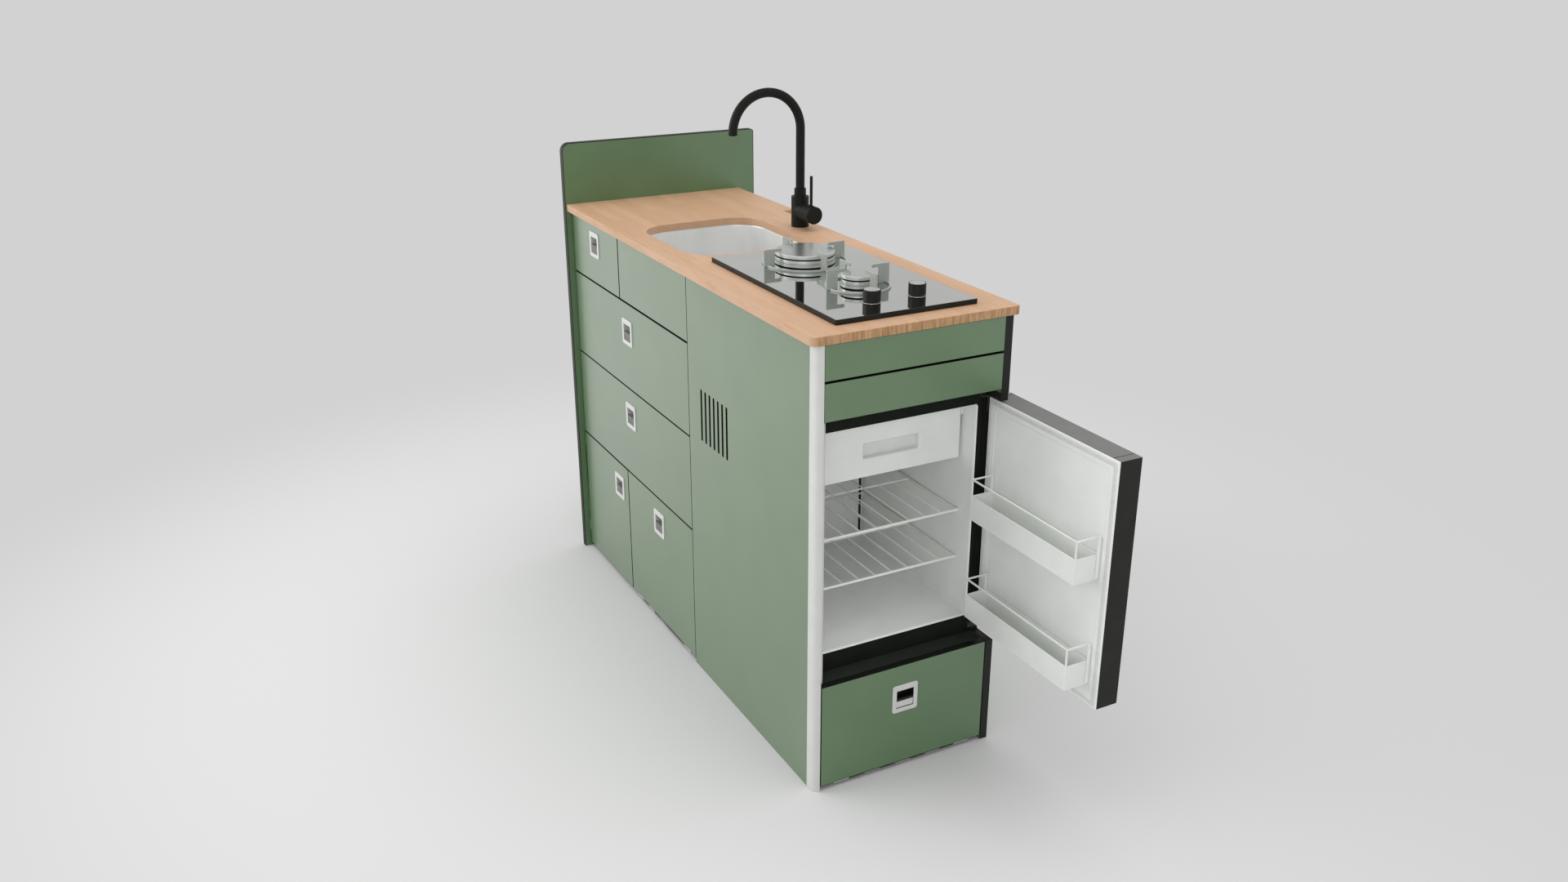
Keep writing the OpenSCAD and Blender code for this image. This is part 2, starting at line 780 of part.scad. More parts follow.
// inner lining with shelf ribs and the floor of the freezer box
module fridge_liner()
{
  x_in = fx - inner_d;
  color("#D9D9D6") {
    difference() {
      bx([x_in - inner_t, open_y0 - inner_t, open_z0 - inner_t], [fx, open_y1 + inner_t, open_z1 + inner_t]);
      bx([x_in, open_y0, open_z0], [fx + 1, open_y1, open_z1]);
    }
    for (z = [shelf1_z, shelf2_z])
      for (s = [0, 1]) {
        ya = s == 0 ? open_y0 - e : open_y1 - 6;
        bx([x_in + 8, ya, z - wire_d - 5], [shelf_x1 - 6, ya + 6 + e, z - wire_d]);
      }
    bx([x_in - e, open_y0 - e, flap_z0 - 5], [flap_x - 12, open_y1 + e, flap_z0 - 2]);
    // stops that the closed flap leans on
    bx([flap_x - 18, open_y0 - e, flap_z0], [flap_x - flap_t - 0.2, open_y0 + 10, flap_z0 + 60]);
    bx([flap_x - 18, open_y1 - 10, flap_z0], [flap_x - flap_t - 0.2, open_y1 + e, flap_z0 + 60]);
    // bearing blocks for the flap pins
    difference() {
      union() {
        bx([flap_x - flap_t, open_y0 - e, flap_z0 + flap_h - 10], [flap_x - 2, open_y0 + 4, open_z1 + e]);
        bx([flap_x - flap_t, open_y1 - 4, flap_z0 + flap_h - 10], [flap_x - 2, open_y1 + e, open_z1 + e]);
      }
      rody(open_y0, open_y1, flap_pin, flap_z0 + flap_h - 4, 2 + pivot_gap);
    }
  }
}

// freezer flap, hung at its top edge, with a recessed grip
module freezer_flap()
{
  ya = open_y0 + 5.4;
  yc = open_y1 - 5.4;
  zc = flap_z0 + flap_h;
  gy = (open_y0 + open_y1)/2 + 8;
  gzc = flap_z0 + grip_up;
  gw = grip_w/2;
  gh = grip_h/2;
  color("#CFCFCD") difference() {
    union() {
      bx([flap_x - flap_t, ya, flap_z0], [flap_x, yc, zc]);
      bx([flap_x - grip_deep - 2, gy - gw - 2, gzc - gh - 2], [flap_x - 1, gy + gw + 2, gzc + gh + 2]);
    }
    bx([flap_x - grip_deep, gy - gw, gzc - gh], [flap_x + 1, gy + gw, gzc + gh]);
  }
  color("#CFCFCD") rody(open_y0 + 1, open_y1 - 1, flap_pin, zc - 4, 2);
}

// wire shelf: thick front bar, middle and back bars, side bars and eight long wires
module wire_shelf(z)
{
  xa = fx - inner_d + 12;
  ya = open_y0 + 3.5;
  yc = open_y1 - 3.5;
  r = wire_d/2;
  zc = z - r;
  for (x = [xa, (xa + shelf_x1)/2])
    rody(ya - bar_d/2, yc + bar_d/2, x, zc, r);
  rody(ya - bar_d/2, yc + bar_d/2, shelf_x1 - bar_d/2, zc, bar_d/2);
  for (y = [ya, yc])
    rodx(xa, shelf_x1 - 2, y, zc, r*0.9);
  for (i = [1 : 8])
    rodx(xa, shelf_x1 - 2, ya + i*(yc - ya)/9, zc + 0.4, r*0.8);
}

module shelf_upper() { color("#D0D1D0") wire_shelf(shelf1_z); }
module shelf_lower() { color("#D0D1D0") wire_shelf(shelf2_z); }

// fixed hinge brackets over and under the door, each with a pin
module hinge_plates()
{
  ya = open_y1 + inner_t + 3;
  yc = pin_y + knuckle_r;
  color("#3A3C38") for (s = [-1, 1]) {
    z = s > 0 ? door_z1 + 0.6 : door_z0 - 0.6;
    za = s > 0 ? z : z - 2.4;
    bx([fx, ya, za], [pin_x + knuckle_r, yc, za + 2.4]);
    bx([fx, ya, s > 0 ? z : z - 14], [fx + 2.4, yc, s > 0 ? z + 14 : z]);
    rodz(s > 0 ? z - 12 : z - 1, s > 0 ? z + 1 : z + 12, pin_x, pin_y, pin_r);
  }
}

// outer shell of the open door with knuckles round the pin line
module door_shell()
{
  t = 2.5;
  ya = door_y0 + liner_t;
  color("#242621") difference() {
    union() {
      difference() {
        bx([door_x0, ya, door_z0], [door_x1, door_y1, door_z1]);
        bx([door_x0 + t, ya - 1, door_z0 + t], [door_x1 - t, door_y1 - t, door_z1 - t]);
      }
      for (z = [door_z0, door_z1 - 30]) {
        rodz(z, z + 30, pin_x, pin_y, knuckle_r);
        bx([pin_x, ya, z], [door_x0 + 1, ya + 5, z + 30]);
      }
    }
    // joints between the skin and its two end profiles
    for (x = [door_x0 + 11, door_x1 - 19])
      difference() {
        bx([x, ya + 1, door_z0 - 1], [x + 0.8, door_y1 + 1, door_z1 + 1]);
        bx([x - 1, ya, door_z0 + 0.8], [x + 2, door_y1 - 0.8, door_z1 - 0.8]);
      }
    rodz(door_z0 - 1, door_z0 + 14, pin_x, pin_y, pin_r + pivot_gap);
    rodz(door_z1 - 14, door_z1 + 1, pin_x, pin_y, pin_r + pivot_gap);
  }
}

// white inner panel with bosses that hold the bins
module door_liner()
{
  color("#D9D9D6") {
    bx([door_x0, door_y0, door_z0], [door_x1, door_y0 + liner_t, door_z1]);
    for (x = [bin_x0 - 8, bin_x1 + 0.2])
      for (z = [bin1_z, bin2_z])
        bx([x, door_y0 - 10, z + 4], [x + 7.8, door_y0 + e, z + rail_up]);
  }
}

module door_gasket()
{
  g = 4;
  w = 9;
  color("#8C8C8C") difference() {
    bx([door_x0 + g, door_y0 - seal_t, door_z0 + g], [door_x1 - g, door_y0, door_z1 - g]);
    bx([door_x0 + g + w, door_y0 - 5, door_z0 + g + w], [door_x1 - g - w, door_y0 + 1, door_z1 - g - w]);
  }
}

// two open bins, each with a keeper rail on two posts
module door_bins()
{
  t = 2;
  ya = door_y0 - bin_d;
  color("#DADBD8") for (z = [bin1_z, bin2_z]) {
    difference() {
      bx([bin_x0, ya, z], [bin_x1, door_y0, z + bin_h]);
      bx([bin_x0 + t, ya + t, z + t], [bin_x1 - t, door_y0 - t, z + bin_h + 1]);
    }
    bx([bin_x0, ya, z + rail_up - rail_t], [bin_x1, ya + rail_t, z + rail_up]);
    for (x = [bin_x0, bin_x1 - rail_t]) {
      bx([x, ya, z + rail_up - rail_t], [x + rail_t, door_y0, z + rail_up]);
      bx([x, ya, z + bin_h - 4], [x + rail_t, ya + rail_t, z + rail_up]);
    }
  }
}

// a front on the drawer side, cut for its latch; lx and lz are the latch centre
module front(xa, xc, za, zc, lx, lz, cut)
{
  difference() {
    bx([xa + half_gap, yf, za], [xc - half_gap, yi, zc]);
    if (cut)
      bx([lx - lin_w/2 - cup_t - cut_gap, yf - 1, lz - lin_h/2 - cup_t - cut_gap],
        [lx + lin_w/2 + cup_t + cut_gap, yi + 1, lz + lin_h/2 + cup_t + cut_gap]);
  }
}

module front_a()
{
  color("#9AA897") front(xi, xn, row1_z + half_gap, row_top - half_gap, la_x, la_z, true);
}

module false_front()
{
  color("#9AA897") front(xn, xb, row1_z + half_gap, row_top - half_gap, 0, 0, false);
}

module front_b()
{
  color("#9AA897") front(xi, xb, row2_z + half_gap, row1_z - half_gap, lb_x, lb_z, true);
}

module front_c()
{
  color("#9AA897") front(xi, xb, row3_z + half_gap, row2_z - half_gap, lb_x, lc_z, true);
}

// a long hinge, drawn along x with its pin line at the origin and its leaf towards +y at
// height lz; the moving knuckles stand up to the front that they carry
module hinge_fixed(len, lz)
{
  seg = len/hinge_seg;
  rodx(-len/2, len/2, 0, 0, hinge_pin);
  for (i = [0 : 2 : hinge_seg - 1])
    rodx(-len/2 + i*seg, -len/2 + (i + 1)*seg, 0, 0, hinge_r);
  translate([-len/2, hinge_r + 0.4, lz]) cube([len, 30, 1]);
  for (i = [0 : 2 : hinge_seg - 1])
    translate([-len/2 + i*seg, 0, lz]) cube([seg, hinge_r + 1, 1]);
}

module hinge_moving(len, up)
{
  seg = len/hinge_seg;
  for (i = [1 : 2 : hinge_seg - 1])
    difference() {
      union() {
        rodx(-len/2 + i*seg + 0.2, -len/2 + (i + 1)*seg - 0.2, 0, 0, hinge_r);
        translate([-len/2 + i*seg + 0.2, -hinge_r + 0.2, 0]) cube([seg - 0.4, 1.6, up]);
      }
      rodx(-len/2, len/2, 0, 0, hinge_pin + pivot_gap);
    }
}

module place_d() { translate([xi + hinge_r + 0.2, yf + hinge_r, hinge_d_z]) rotate([0, 90, 0]) children(); }
module place_e() { translate([le_x, yf + hinge_r, toe_gap - hinge_r - 0.2]) children(); }
module place_f() { translate([x1 - hinge_r, lf_y, toe_gap - hinge_r - 0.2]) rotate([0, 0, 90]) children(); }

module door_d()
{
  color("#9AA897") {
    front(xi + 2*hinge_r + 0.4 - half_gap, xn, toe_gap, row3_z - half_gap, ld_x, ld_z, true);
    place_d() hinge_moving(len_d, hinge_r + 0.4);
  }
}

module flap_e()
{
  color("#9AA897") {
    front(xn, xb, toe_gap, row3_z - half_gap, le_x, ld_z, true);
    place_e() hinge_moving(len_e, hinge_r + 0.4);
  }
}

module flap_f()
{
  w = lin_w/2 + cup_t + cut_gap;
  h = lin_h/2 + cup_t + cut_gap;
  color("#60785A") {
    difference() {
      bx([x1 - panel_t, post_y + half_gap, toe_gap], [x1, yj - half_gap, ledge_z]);
      bx([x1 - panel_t - 1, lf_y - w, lf_z - h], [x1 + 1, lf_y + w, lf_z + h]);
    }
    place_f() hinge_moving(len_f, hinge_r + 0.4);
  }
}

// fixed leaves and pins of the three long hinges
module flap_hinges()
{
  color("#8C8F90") {
    place_d() hinge_fixed(len_d, -hinge_r - 0.2);
    place_e() hinge_fixed(len_e, 0.3);
    place_f() hinge_fixed(len_f, 0.3);
  }
}

// drawer box: floor, two sides and a back, open to the front panel
module drawer_box(xa, xc, z, h)
{
  a = xa + runner_w;
  c = xc - runner_w;
  color("#D8CDB8") {
    bx([a, yi, z], [c, box_y1, z + 4]);
    bx([a, yi, z + 4 - e], [a + box_t, box_y1, z + h]);
    bx([c - box_t, yi, z + 4 - e], [c, box_y1, z + h]);
    bx([a + box_t - e, box_y1 - box_t, z + 4 - e], [c - box_t + e, box_y1, z + h]);
  }
}

module box_a() { drawer_box(xi, xn - core_t/2, box_a_z, box_fill*(row_top - row1_z)); }
module box_b() { drawer_box(xi, wall_a, box_b_z, box_fill*(row1_z - row2_z)); }
module box_c() { drawer_box(xi, wall_a, box_c_z, box_fill*(row2_z - row3_z)); }

// latch frame with its finger cup; drawn at the origin, facing -Y
module bezel()
{
  color("#D9D9D6") difference() {
    union() {
      translate([0, 0, 0]) rotate([90, 0, 0]) linear_extrude(lip_t)
        rr([-latch_w/2, -latch_h/2], [latch_w/2, latch_h/2], latch_round);
      bx([-lin_w/2 - cup_t, -e, -lin_h/2 - cup_t], [lin_w/2 + cup_t, cup_d, lin_h/2 + cup_t]);
    }
    bx([-lin_w/2, -lip_t - 1, -lin_h/2], [lin_w/2, cup_d - cup_t, lin_h/2]);
    rodx(-lin_w/2 - cup_t - 1, lin_w/2 + cup_t + 1, paddle_t/2 - lip_t, paddle_pz, ppin_r + pivot_gap);
  }
}

// paddle in the lower half of the frame, on a pin near its lower edge
module paddle()
{
  color("#DCDCDA") {
    bx([-paddle_w/2, -lip_t, -lin_h/2 + 0.6], [paddle_w/2, paddle_t - lip_t, -lin_h/2 + paddle_h]);
    bx([-paddle_w/2, paddle_t - lip_t - e, -lin_h/2 + paddle_h - 2.5],
      [paddle_w/2, paddle_t - lip_t + 4, -lin_h/2 + paddle_h]);
    rodx(-lin_w/2 - cup_t + 0.2, lin_w/2 + cup_t - 0.2, paddle_t/2 - lip_t, paddle_pz, ppin_r);
  }
}

module bezel_a() { translate([la_x, yf, la_z]) bezel(); }
module bezel_b() { translate([lb_x, yf, lb_z]) bezel(); }
module bezel_c() { translate([lb_x, yf, lc_z]) bezel(); }
module bezel_d() { translate([ld_x, yf, ld_z]) bezel(); }
module bezel_e() { translate([le_x, yf, ld_z]) bezel(); }
module bezel_f() { translate([x1, lf_y, lf_z]) rotate([0, 0, 90]) bezel(); }
module paddle_a() { translate([la_x, yf, la_z]) paddle(); }
module paddle_b() { translate([lb_x, yf, lb_z]) paddle(); }
module paddle_c() { translate([lb_x, yf, lc_z]) paddle(); }
module paddle_d() { translate([ld_x, yf, ld_z]) paddle(); }
module paddle_e() { translate([le_x, yf, ld_z]) paddle(); }
module paddle_f() { translate([x1, lf_y, lf_z]) rotate([0, 0, 90]) paddle(); }

end_panel();
edge_trim();
back_panel();
vent_panel();
corner_post();
carcass_core();
bay_shelf();
end_fascias();
worktop();
runners();
sink_bowl();
sink_waste();
tap_body();
tap_spout();
tap_hub();
tap_lever();
hob_glass();
hob_tray();
burner_heads();
cap_large();
cap_small();
grid_large();
grid_small();
knob_large();
knob_small();
spindle_large();
spindle_small();
fridge_case();
fridge_liner();
freezer_flap();
shelf_upper();
shelf_lower();
hinge_plates();
door_shell();
door_liner();
door_gasket();
door_bins();
front_a();
box_a();
false_front();
front_b();
box_b();
front_c();
box_c();
door_d();
flap_e();
flap_f();
flap_hinges();
bezel_a();
bezel_b();
bezel_c();
bezel_d();
bezel_e();
bezel_f();
paddle_a();
paddle_b();
paddle_c();
paddle_d();
paddle_e();
paddle_f();
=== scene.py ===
import json
import math

import bmesh
import bpy
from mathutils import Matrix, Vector

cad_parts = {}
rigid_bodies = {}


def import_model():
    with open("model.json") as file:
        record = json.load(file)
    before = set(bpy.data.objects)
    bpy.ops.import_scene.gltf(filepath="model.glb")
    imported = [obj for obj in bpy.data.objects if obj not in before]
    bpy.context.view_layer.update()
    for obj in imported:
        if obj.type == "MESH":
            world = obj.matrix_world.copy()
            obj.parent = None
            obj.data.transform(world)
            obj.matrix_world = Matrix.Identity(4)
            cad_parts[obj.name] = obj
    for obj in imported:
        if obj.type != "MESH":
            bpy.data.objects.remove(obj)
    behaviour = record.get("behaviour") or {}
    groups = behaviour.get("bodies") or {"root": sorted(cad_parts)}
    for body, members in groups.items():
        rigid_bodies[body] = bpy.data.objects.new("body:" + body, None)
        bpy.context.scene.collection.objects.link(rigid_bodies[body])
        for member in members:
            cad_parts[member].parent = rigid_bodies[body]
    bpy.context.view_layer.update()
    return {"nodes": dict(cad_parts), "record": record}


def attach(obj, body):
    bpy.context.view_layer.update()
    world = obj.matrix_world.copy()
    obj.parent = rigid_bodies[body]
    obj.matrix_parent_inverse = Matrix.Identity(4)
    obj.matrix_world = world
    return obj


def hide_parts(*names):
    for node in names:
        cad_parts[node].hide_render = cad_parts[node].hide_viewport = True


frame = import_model()
nodes = frame["nodes"]
slot_of = {part["node"]: part["material_slot"] for part in frame["record"]["subparts"]}
body_of = {node: body for body, members in frame["record"]["behaviour"]["bodies"].items()
           for node in members}
mm = 0.001
quarter = math.pi / 2

# Sizes in mm that finishes and pieces share. x runs along the unit towards the fridge, y towards
# the back and z up.
board = 16
front_y, end_x = -199, 610
worktop_under, worktop_end = 884, 614
burners = ((190, 5, 60), (394, 5, 32))  # x, y and radius


# ---- materials ----

# The second and third blacks are painted shade for the burners' gaps and the door's joints.
edging_black, gap_shade_black, joint_shade_black = "#181A16", "#191A17", "#1D1F1B"
back_pale, backdrop = "#B9BCB4", "#D2D2D2"


def linear(hex_colour):
    """An sRGB hex value as the linear colour that a shader wants."""
    out = []
    for i in (1, 3, 5):
        v = int(hex_colour[i : i + 2], 16) / 255
        out.append(v / 12.92 if v <= 0.04045 else ((v + 0.055) / 1.055) ** 2.4)
    return (*out, 1.0)


def add(tree, kind, settings=None, **links):
    """Adds a shader node with its settings. An input is named, or given by its number as i6;
    it takes a plain value or (node, output)."""
    node = tree.nodes.new(kind)
    for key, value in (settings or {}).items():
        setattr(node, key, value)
    for key, value in links.items():
        number = key[1:]
        socket = node.inputs[int(number) if number.isdigit() else key.replace("_", " ")]
        if isinstance(value, tuple) and hasattr(value[0], "outputs"):
            tree.links.new(value[0].outputs[value[1]], socket)
        else:
            socket.default_value = value
    return node


def plain(name, colour, roughness, **values):
    """A finish of one tone, with its constants on the shader's own sockets."""
    m = bpy.data.materials.new(name)
    m.use_nodes = True
    shader = m.node_tree.nodes["Principled BSDF"]
    shader.inputs["Base Color"].default_value = linear(colour)
    shader.inputs["Roughness"].default_value = roughness
    for key, value in values.items():
        shader.inputs[key.replace("_", " ")].default_value = value
    return m


def finish(name, colours, roughness, patch, grain, depth, stretch=(1, 1, 1), **values):
    """A finish as the real surface has it: two near tones in patches of a size in mm, and a bump
    with a grain and a depth in mm."""
    m = plain(name, colours[0], roughness, **values)
    tree = m.node_tree
    shader = tree.nodes["Principled BSDF"]
    place = add(tree, "ShaderNodeTexCoord")
    stretched = add(tree, "ShaderNodeMapping", Vector=(place, "Object"), Scale=stretch)
    tone = add(tree, "ShaderNodeTexNoise", Vector=(stretched, 0), Scale=1000 / patch, Detail=3.0)
    ramp = add(tree, "ShaderNodeMapRange", i0=(tone, 0), i1=0.3, i2=0.7)
    mix = add(tree, "ShaderNodeMix", {"data_type": "RGBA"}, i0=(ramp, 0),
              i6=linear(colours[0]), i7=linear(colours[1]))
    tree.links.new(mix.outputs[2], shader.inputs["Base Color"])
    fine = add(tree, "ShaderNodeTexNoise", Vector=(stretched, 0), Scale=1000 / grain, Detail=2.0)
    bump = add(tree, "ShaderNodeBump", Strength=0.6, Distance=depth * mm, Height=(fine, 0))
    tree.links.new(bump.outputs[0], shader.inputs["Normal"])
    return m


def between(tree, place, axis, low, high):
    """1 where an Object coordinate lies between two values in mm, else 0."""
    split = add(tree, "ShaderNodeSeparateXYZ", Vector=(place, "Object"))
    return add(tree, "ShaderNodeMath", {"operation": "COMPARE"}, i0=(split, "XYZ".index(axis)),
               i1=(low + high) / 2 * mm, i2=(high - low) / 2 * mm)


def paint_over(m, where, colour):
    """Lays one more colour over a finish where a mask is 1."""
    tree = m.node_tree
    socket = tree.nodes["Principled BSDF"].inputs["Base Color"]
    under = socket.links[0].from_socket
    mix = add(tree, "ShaderNodeMix", {"data_type": "RGBA"}, i0=(where, 0), i7=linear(colour))
    tree.links.new(under, mix.inputs[6])
    tree.links.new(mix.outputs[2], socket)


def paint_band(m, axis, low, high, colour):
    """Lays one more colour over a finish between two values of a coordinate, in mm."""
    place = add(m.node_tree, "ShaderNodeTexCoord")
    paint_over(m, between(m.node_tree, place, axis, low, high), colour)


def laminate(name, colours):
    """High-pressure laminate: satin, with a fine pressed grain and a sheen at a low angle."""
    return finish(name, colours, 0.36, 90, 1.2, 0.02, Coat_Weight=1.0, Coat_Roughness=0.32)


def laminate_board(name, colours, axis, outer, inner):
    """Laminate on a board between two planes in mm. Between its faces the board shows black ABS
    edging without the laminate's sheen, and its inner face is pale."""
    skin, lap, beyond = 0.03, 0.3, 1
    m = laminate(name, colours)
    tree = m.node_tree
    shader = tree.nodes["Principled BSDF"]
    place = add(tree, "ShaderNodeTexCoord")
    edge = between(tree, place, axis, min(outer, inner) + skin, max(outer, inner) - skin)
    paint_over(m, edge, edging_black)
    face = add(tree, "ShaderNodeMath", {"operation": "SUBTRACT"}, i0=1.0, i1=(edge, 0))
    tree.links.new(face.outputs[0], shader.inputs["Coat Weight"])
    gloss = add(tree, "ShaderNodeMapRange", i0=(edge, 0), i3=0.5, i4=0.15)
    tree.links.new(gloss.outputs[0], shader.inputs["Specular IOR Level"])
    back = (inner - lap, inner + beyond) if inner > outer else (inner - beyond, inner + lap)
    paint_band(m, axis, *back, back_pale)
    return m


# Green boards of the drawer side and of the fridge end: one laminate, painted a little lighter
# on the drawer side as light and darker on the fridge end as shade.
lit_side_green = laminate_board("green_laminate_drawer_side_painted_light", ("#5C7455", "#617959"),
                            "Y", front_y, front_y + board)
shaded_end_green = laminate_board("green_laminate_fridge_end_painted_shade", ("#53724C", "#577650"),
                           "X", end_x, end_x - board)
# The same laminate on boards whose edges carry their own strips, painted darker still as shade.
shaded_panel_green = laminate("green_laminate_panel_painted_shade", ("#4F7048", "#54754D"))
# Black ABS edging: matte, a little scuffed along its length.
edging = finish("black_abs_edging", ("#161814", "#1C1E1A"), 0.55, 25, 0.8, 0.03,
                Specular_IOR_Level=0.3)
# Black laminate of the fridge shelf: dead matt.
shelf_black = finish("matt_black_laminate", ("#262924", "#2C2F2A"), 0.8, 40, 1.0, 0.03,
                     Specular_IOR_Level=0.2)
# Moulded white ABS: soft gloss with a spark-eroded grain, drawn a little coarse so that it shows.
white_abs = finish("white_moulded_abs", ("#CDCDCB", "#D2D2D0"), 0.35, 30, 0.7, 0.015)
# The same plastic extruded, for the corner post: a touch paler.
post_abs = finish("white_extruded_abs", ("#CECECC", "#D3D3D1"), 0.35, 30, 0.7, 0.015)
# Vacuum-formed polystyrene: smooth, slightly wavy, soft gloss.
lining = finish("white_formed_polystyrene", ("#EBEDEA", "#F1F3F0"), 0.3, 60, 9, 0.05)
# The same plastic in the freezer flap's grip, left rough by its mould, and painted a shade
# darker as the recess's shade.
shaded_recess_white = finish("rough_white_polystyrene_painted_shade", ("#DDDFDC", "#E3E5E2"), 0.6, 30, 0.8, 0.03)
# Injection-moulded milky polystyrene of the bins: a hint of light comes through.
bin_white = finish("milky_moulded_polystyrene", ("#EEF1ED", "#F4F6F3"), 0.22, 40, 6, 0.02,
                   Transmission_Weight=0.08)
# Soft PVC of the door seal: matte white.
seal = finish("white_pvc_seal", ("#D5D6D3", "#DEDFDC"), 0.6, 15, 1.0, 0.04)
# Matte black powder coat of the tap: orange-peel texture of about a millimetre.
black_coat = finish("matte_black_powder_coat", ("#151713", "#1A1C18"), 0.42, 12, 1.1, 0.03,
                    Specular_IOR_Level=0.14)
# Moulded black ABS of the knobs and the door skin.
black_abs = finish("black_moulded_abs", ("#181A16", "#1E201B"), 0.5, 30, 0.8, 0.02,
                   Specular_IOR_Level=0.22)
# The same plastic on the fridge's own frame: duller, without the polish of handled parts.
frame_abs = finish("dull_black_moulded_frame", ("#191C18", "#1E211C"), 0.6, 30, 0.8, 0.02,
                   Specular_IOR_Level=0.08)
# Grey profiles along the top and bottom of the door. Near each end a black line, wider than
# the joint groove, is painted over it as shade.
grey_cap = finish("grey_moulded_cap", ("#6C6C6A", "#737371"), 0.45, 25, 0.8, 0.02)
for joint_x in (581, 907):
    paint_band(grey_cap, "X", joint_x - 0.8, joint_x + 0.8, joint_shade_black)
# Zinc-plated steel of runners, spindles and hinges: dull, cloudy metal.
zinc = finish("zinc_plated_steel", ("#ABAEAE", "#C4C7C7"), 0.38, 8, 0.9, 0.01, Metallic=0.9)
# Wire dipped in white plastic: thick, smooth and a little wavy.
wire_coat = finish("plastic_dipped_wire", ("#EFF1ED", "#F5F7F3"), 0.3, 20, 3, 0.05)
# Pale enamel baked on cast pan supports: glossy with a slight orange peel.
enamel = finish("grey_baked_enamel", ("#9DA29B", "#A6ABA4"), 0.25, 18, 3, 0.03)
# Dark coating of the hinge brackets: a fine, even grain.
bracket = finish("dark_coated_bracket", ("#343632", "#42443F"), 0.45, 10, 1.0, 0.02)
# Coated toughened glass: it mirrors the pale room, with a barely felt waviness.
mirror_glass = finish("mirror_coated_glass", ("#C9CBC8", "#CFD1CE"), 0.03, 120, 40, 0.004,
                      Metallic=1.0)
# The ground and polished edge of the same glass.
glass_edge = finish("black_ground_glass_edge", ("#161814", "#1B1D19"), 0.4, 20, 1.5, 0.02,
                    Specular_IOR_Level=0.25)
# Finger cups of the drawer side, white walls round a black floor, painted one grey as the shade
# they show from the side; their white paddles are painted darker grey as shade.
shaded_cup_grey = finish("grey_cup_painted_shade", ("#BEBEBB", "#C5C5C2"), 0.5, 20, 0.8, 0.02)
shaded_paddle_grey = finish("grey_paddle_painted_shade", ("#686C65", "#70746D"), 0.45, 20, 0.8, 0.02,
                     Specular_IOR_Level=0.3)
# Black inside of the finger cup on the fridge end: its floor is black, and its white walls
# are painted black as shade.
cup_black_and_shade = finish("black_cup_and_painted_shade", ("#131412", "#1B1C19"), 0.5, 20, 0.8, 0.02)
# Spun aluminium disc on top of a knob, and the ring under it: fine rings, half matte.
disc_grey = finish("spun_grey_disc", ("#ABADAA", "#BCBEBB"), 0.35, 6, 0.7, 0.01, Metallic=0.5)
# The caps over the burners, of the burners' alloy: polished on top, satin round the side, and
# at the lower edge a black band painted as the shade of the gap under the cap.
cap_top = finish("turned_burner_cap", ("#C5C8C4", "#CDCFCC"), 0.22, 12, 0.8, 0.006, Metallic=1.0)
cap_side = finish("satin_burner_cap_side", ("#C1C4C0", "#CACCC9"), 0.42, 12, 0.8, 0.01,
                  Metallic=0.45)
paint_band(cap_side, "Z", 926, 927.5, gap_shade_black)


def burner_alloy():
    """Sand-cast aluminium alloy, turned on top: pale, half matte. The groove under the cap and the
    foot on the glass are painted black as shade."""
    rim, groove, foot = 1.2, (918.2, 926.4), (909, 911.8)
    m = finish("turned_cast_alloy", ("#C3C7C2", "#D3D6D2"), 0.34, 10, 0.9, 0.03, Metallic=0.45)
    tree = m.node_tree
    place = add(tree, "ShaderNodeTexCoord")
    inside = []
    for x, y, radius in burners:
        spot = add(tree, "ShaderNodeVectorMath", {"operation": "SUBTRACT"}, i0=(place, "Object"),
                   i1=(x * mm, y * mm, 0))
        flat = add(tree, "ShaderNodeVectorMath", {"operation": "MULTIPLY"}, i0=(spot, 0),
                   i1=(1, 1, 0))
        length = add(tree, "ShaderNodeVectorMath", {"operation": "LENGTH"}, i0=(flat, 0))
        inside.append(add(tree, "ShaderNodeMath", {"operation": "LESS_THAN"}, i0=(length, 1),
                          i1=(radius - rim) * mm))
    either = add(tree, "ShaderNodeMath", {"operation": "MAXIMUM"}, i0=(inside[0], 0),
                 i1=(inside[1], 0))
    # Painted shade: black in the groove under the cap and round the foot on the glass.
    painted_shade_mask = add(tree, "ShaderNodeMath", {"operation": "MULTIPLY"}, i0=(either, 0),
               i1=(between(tree, place, "Z", *groove), 0))
    painted_shade_mask = add(tree, "ShaderNodeMath", {"operation": "MAXIMUM"}, i0=(painted_shade_mask, 0),
               i1=(between(tree, place, "Z", *foot), 0))
    paint_over(m, painted_shade_mask, gap_shade_black)
    return m


def brushed_steel(name, colours, roughness, stretch, metallic):
    """Satin stainless steel: the brush leaves long fine lines, drawn about 1 mm wide to show."""
    return finish(name, colours, roughness, 60, 1.2, 0.01, stretch, Metallic=metallic)


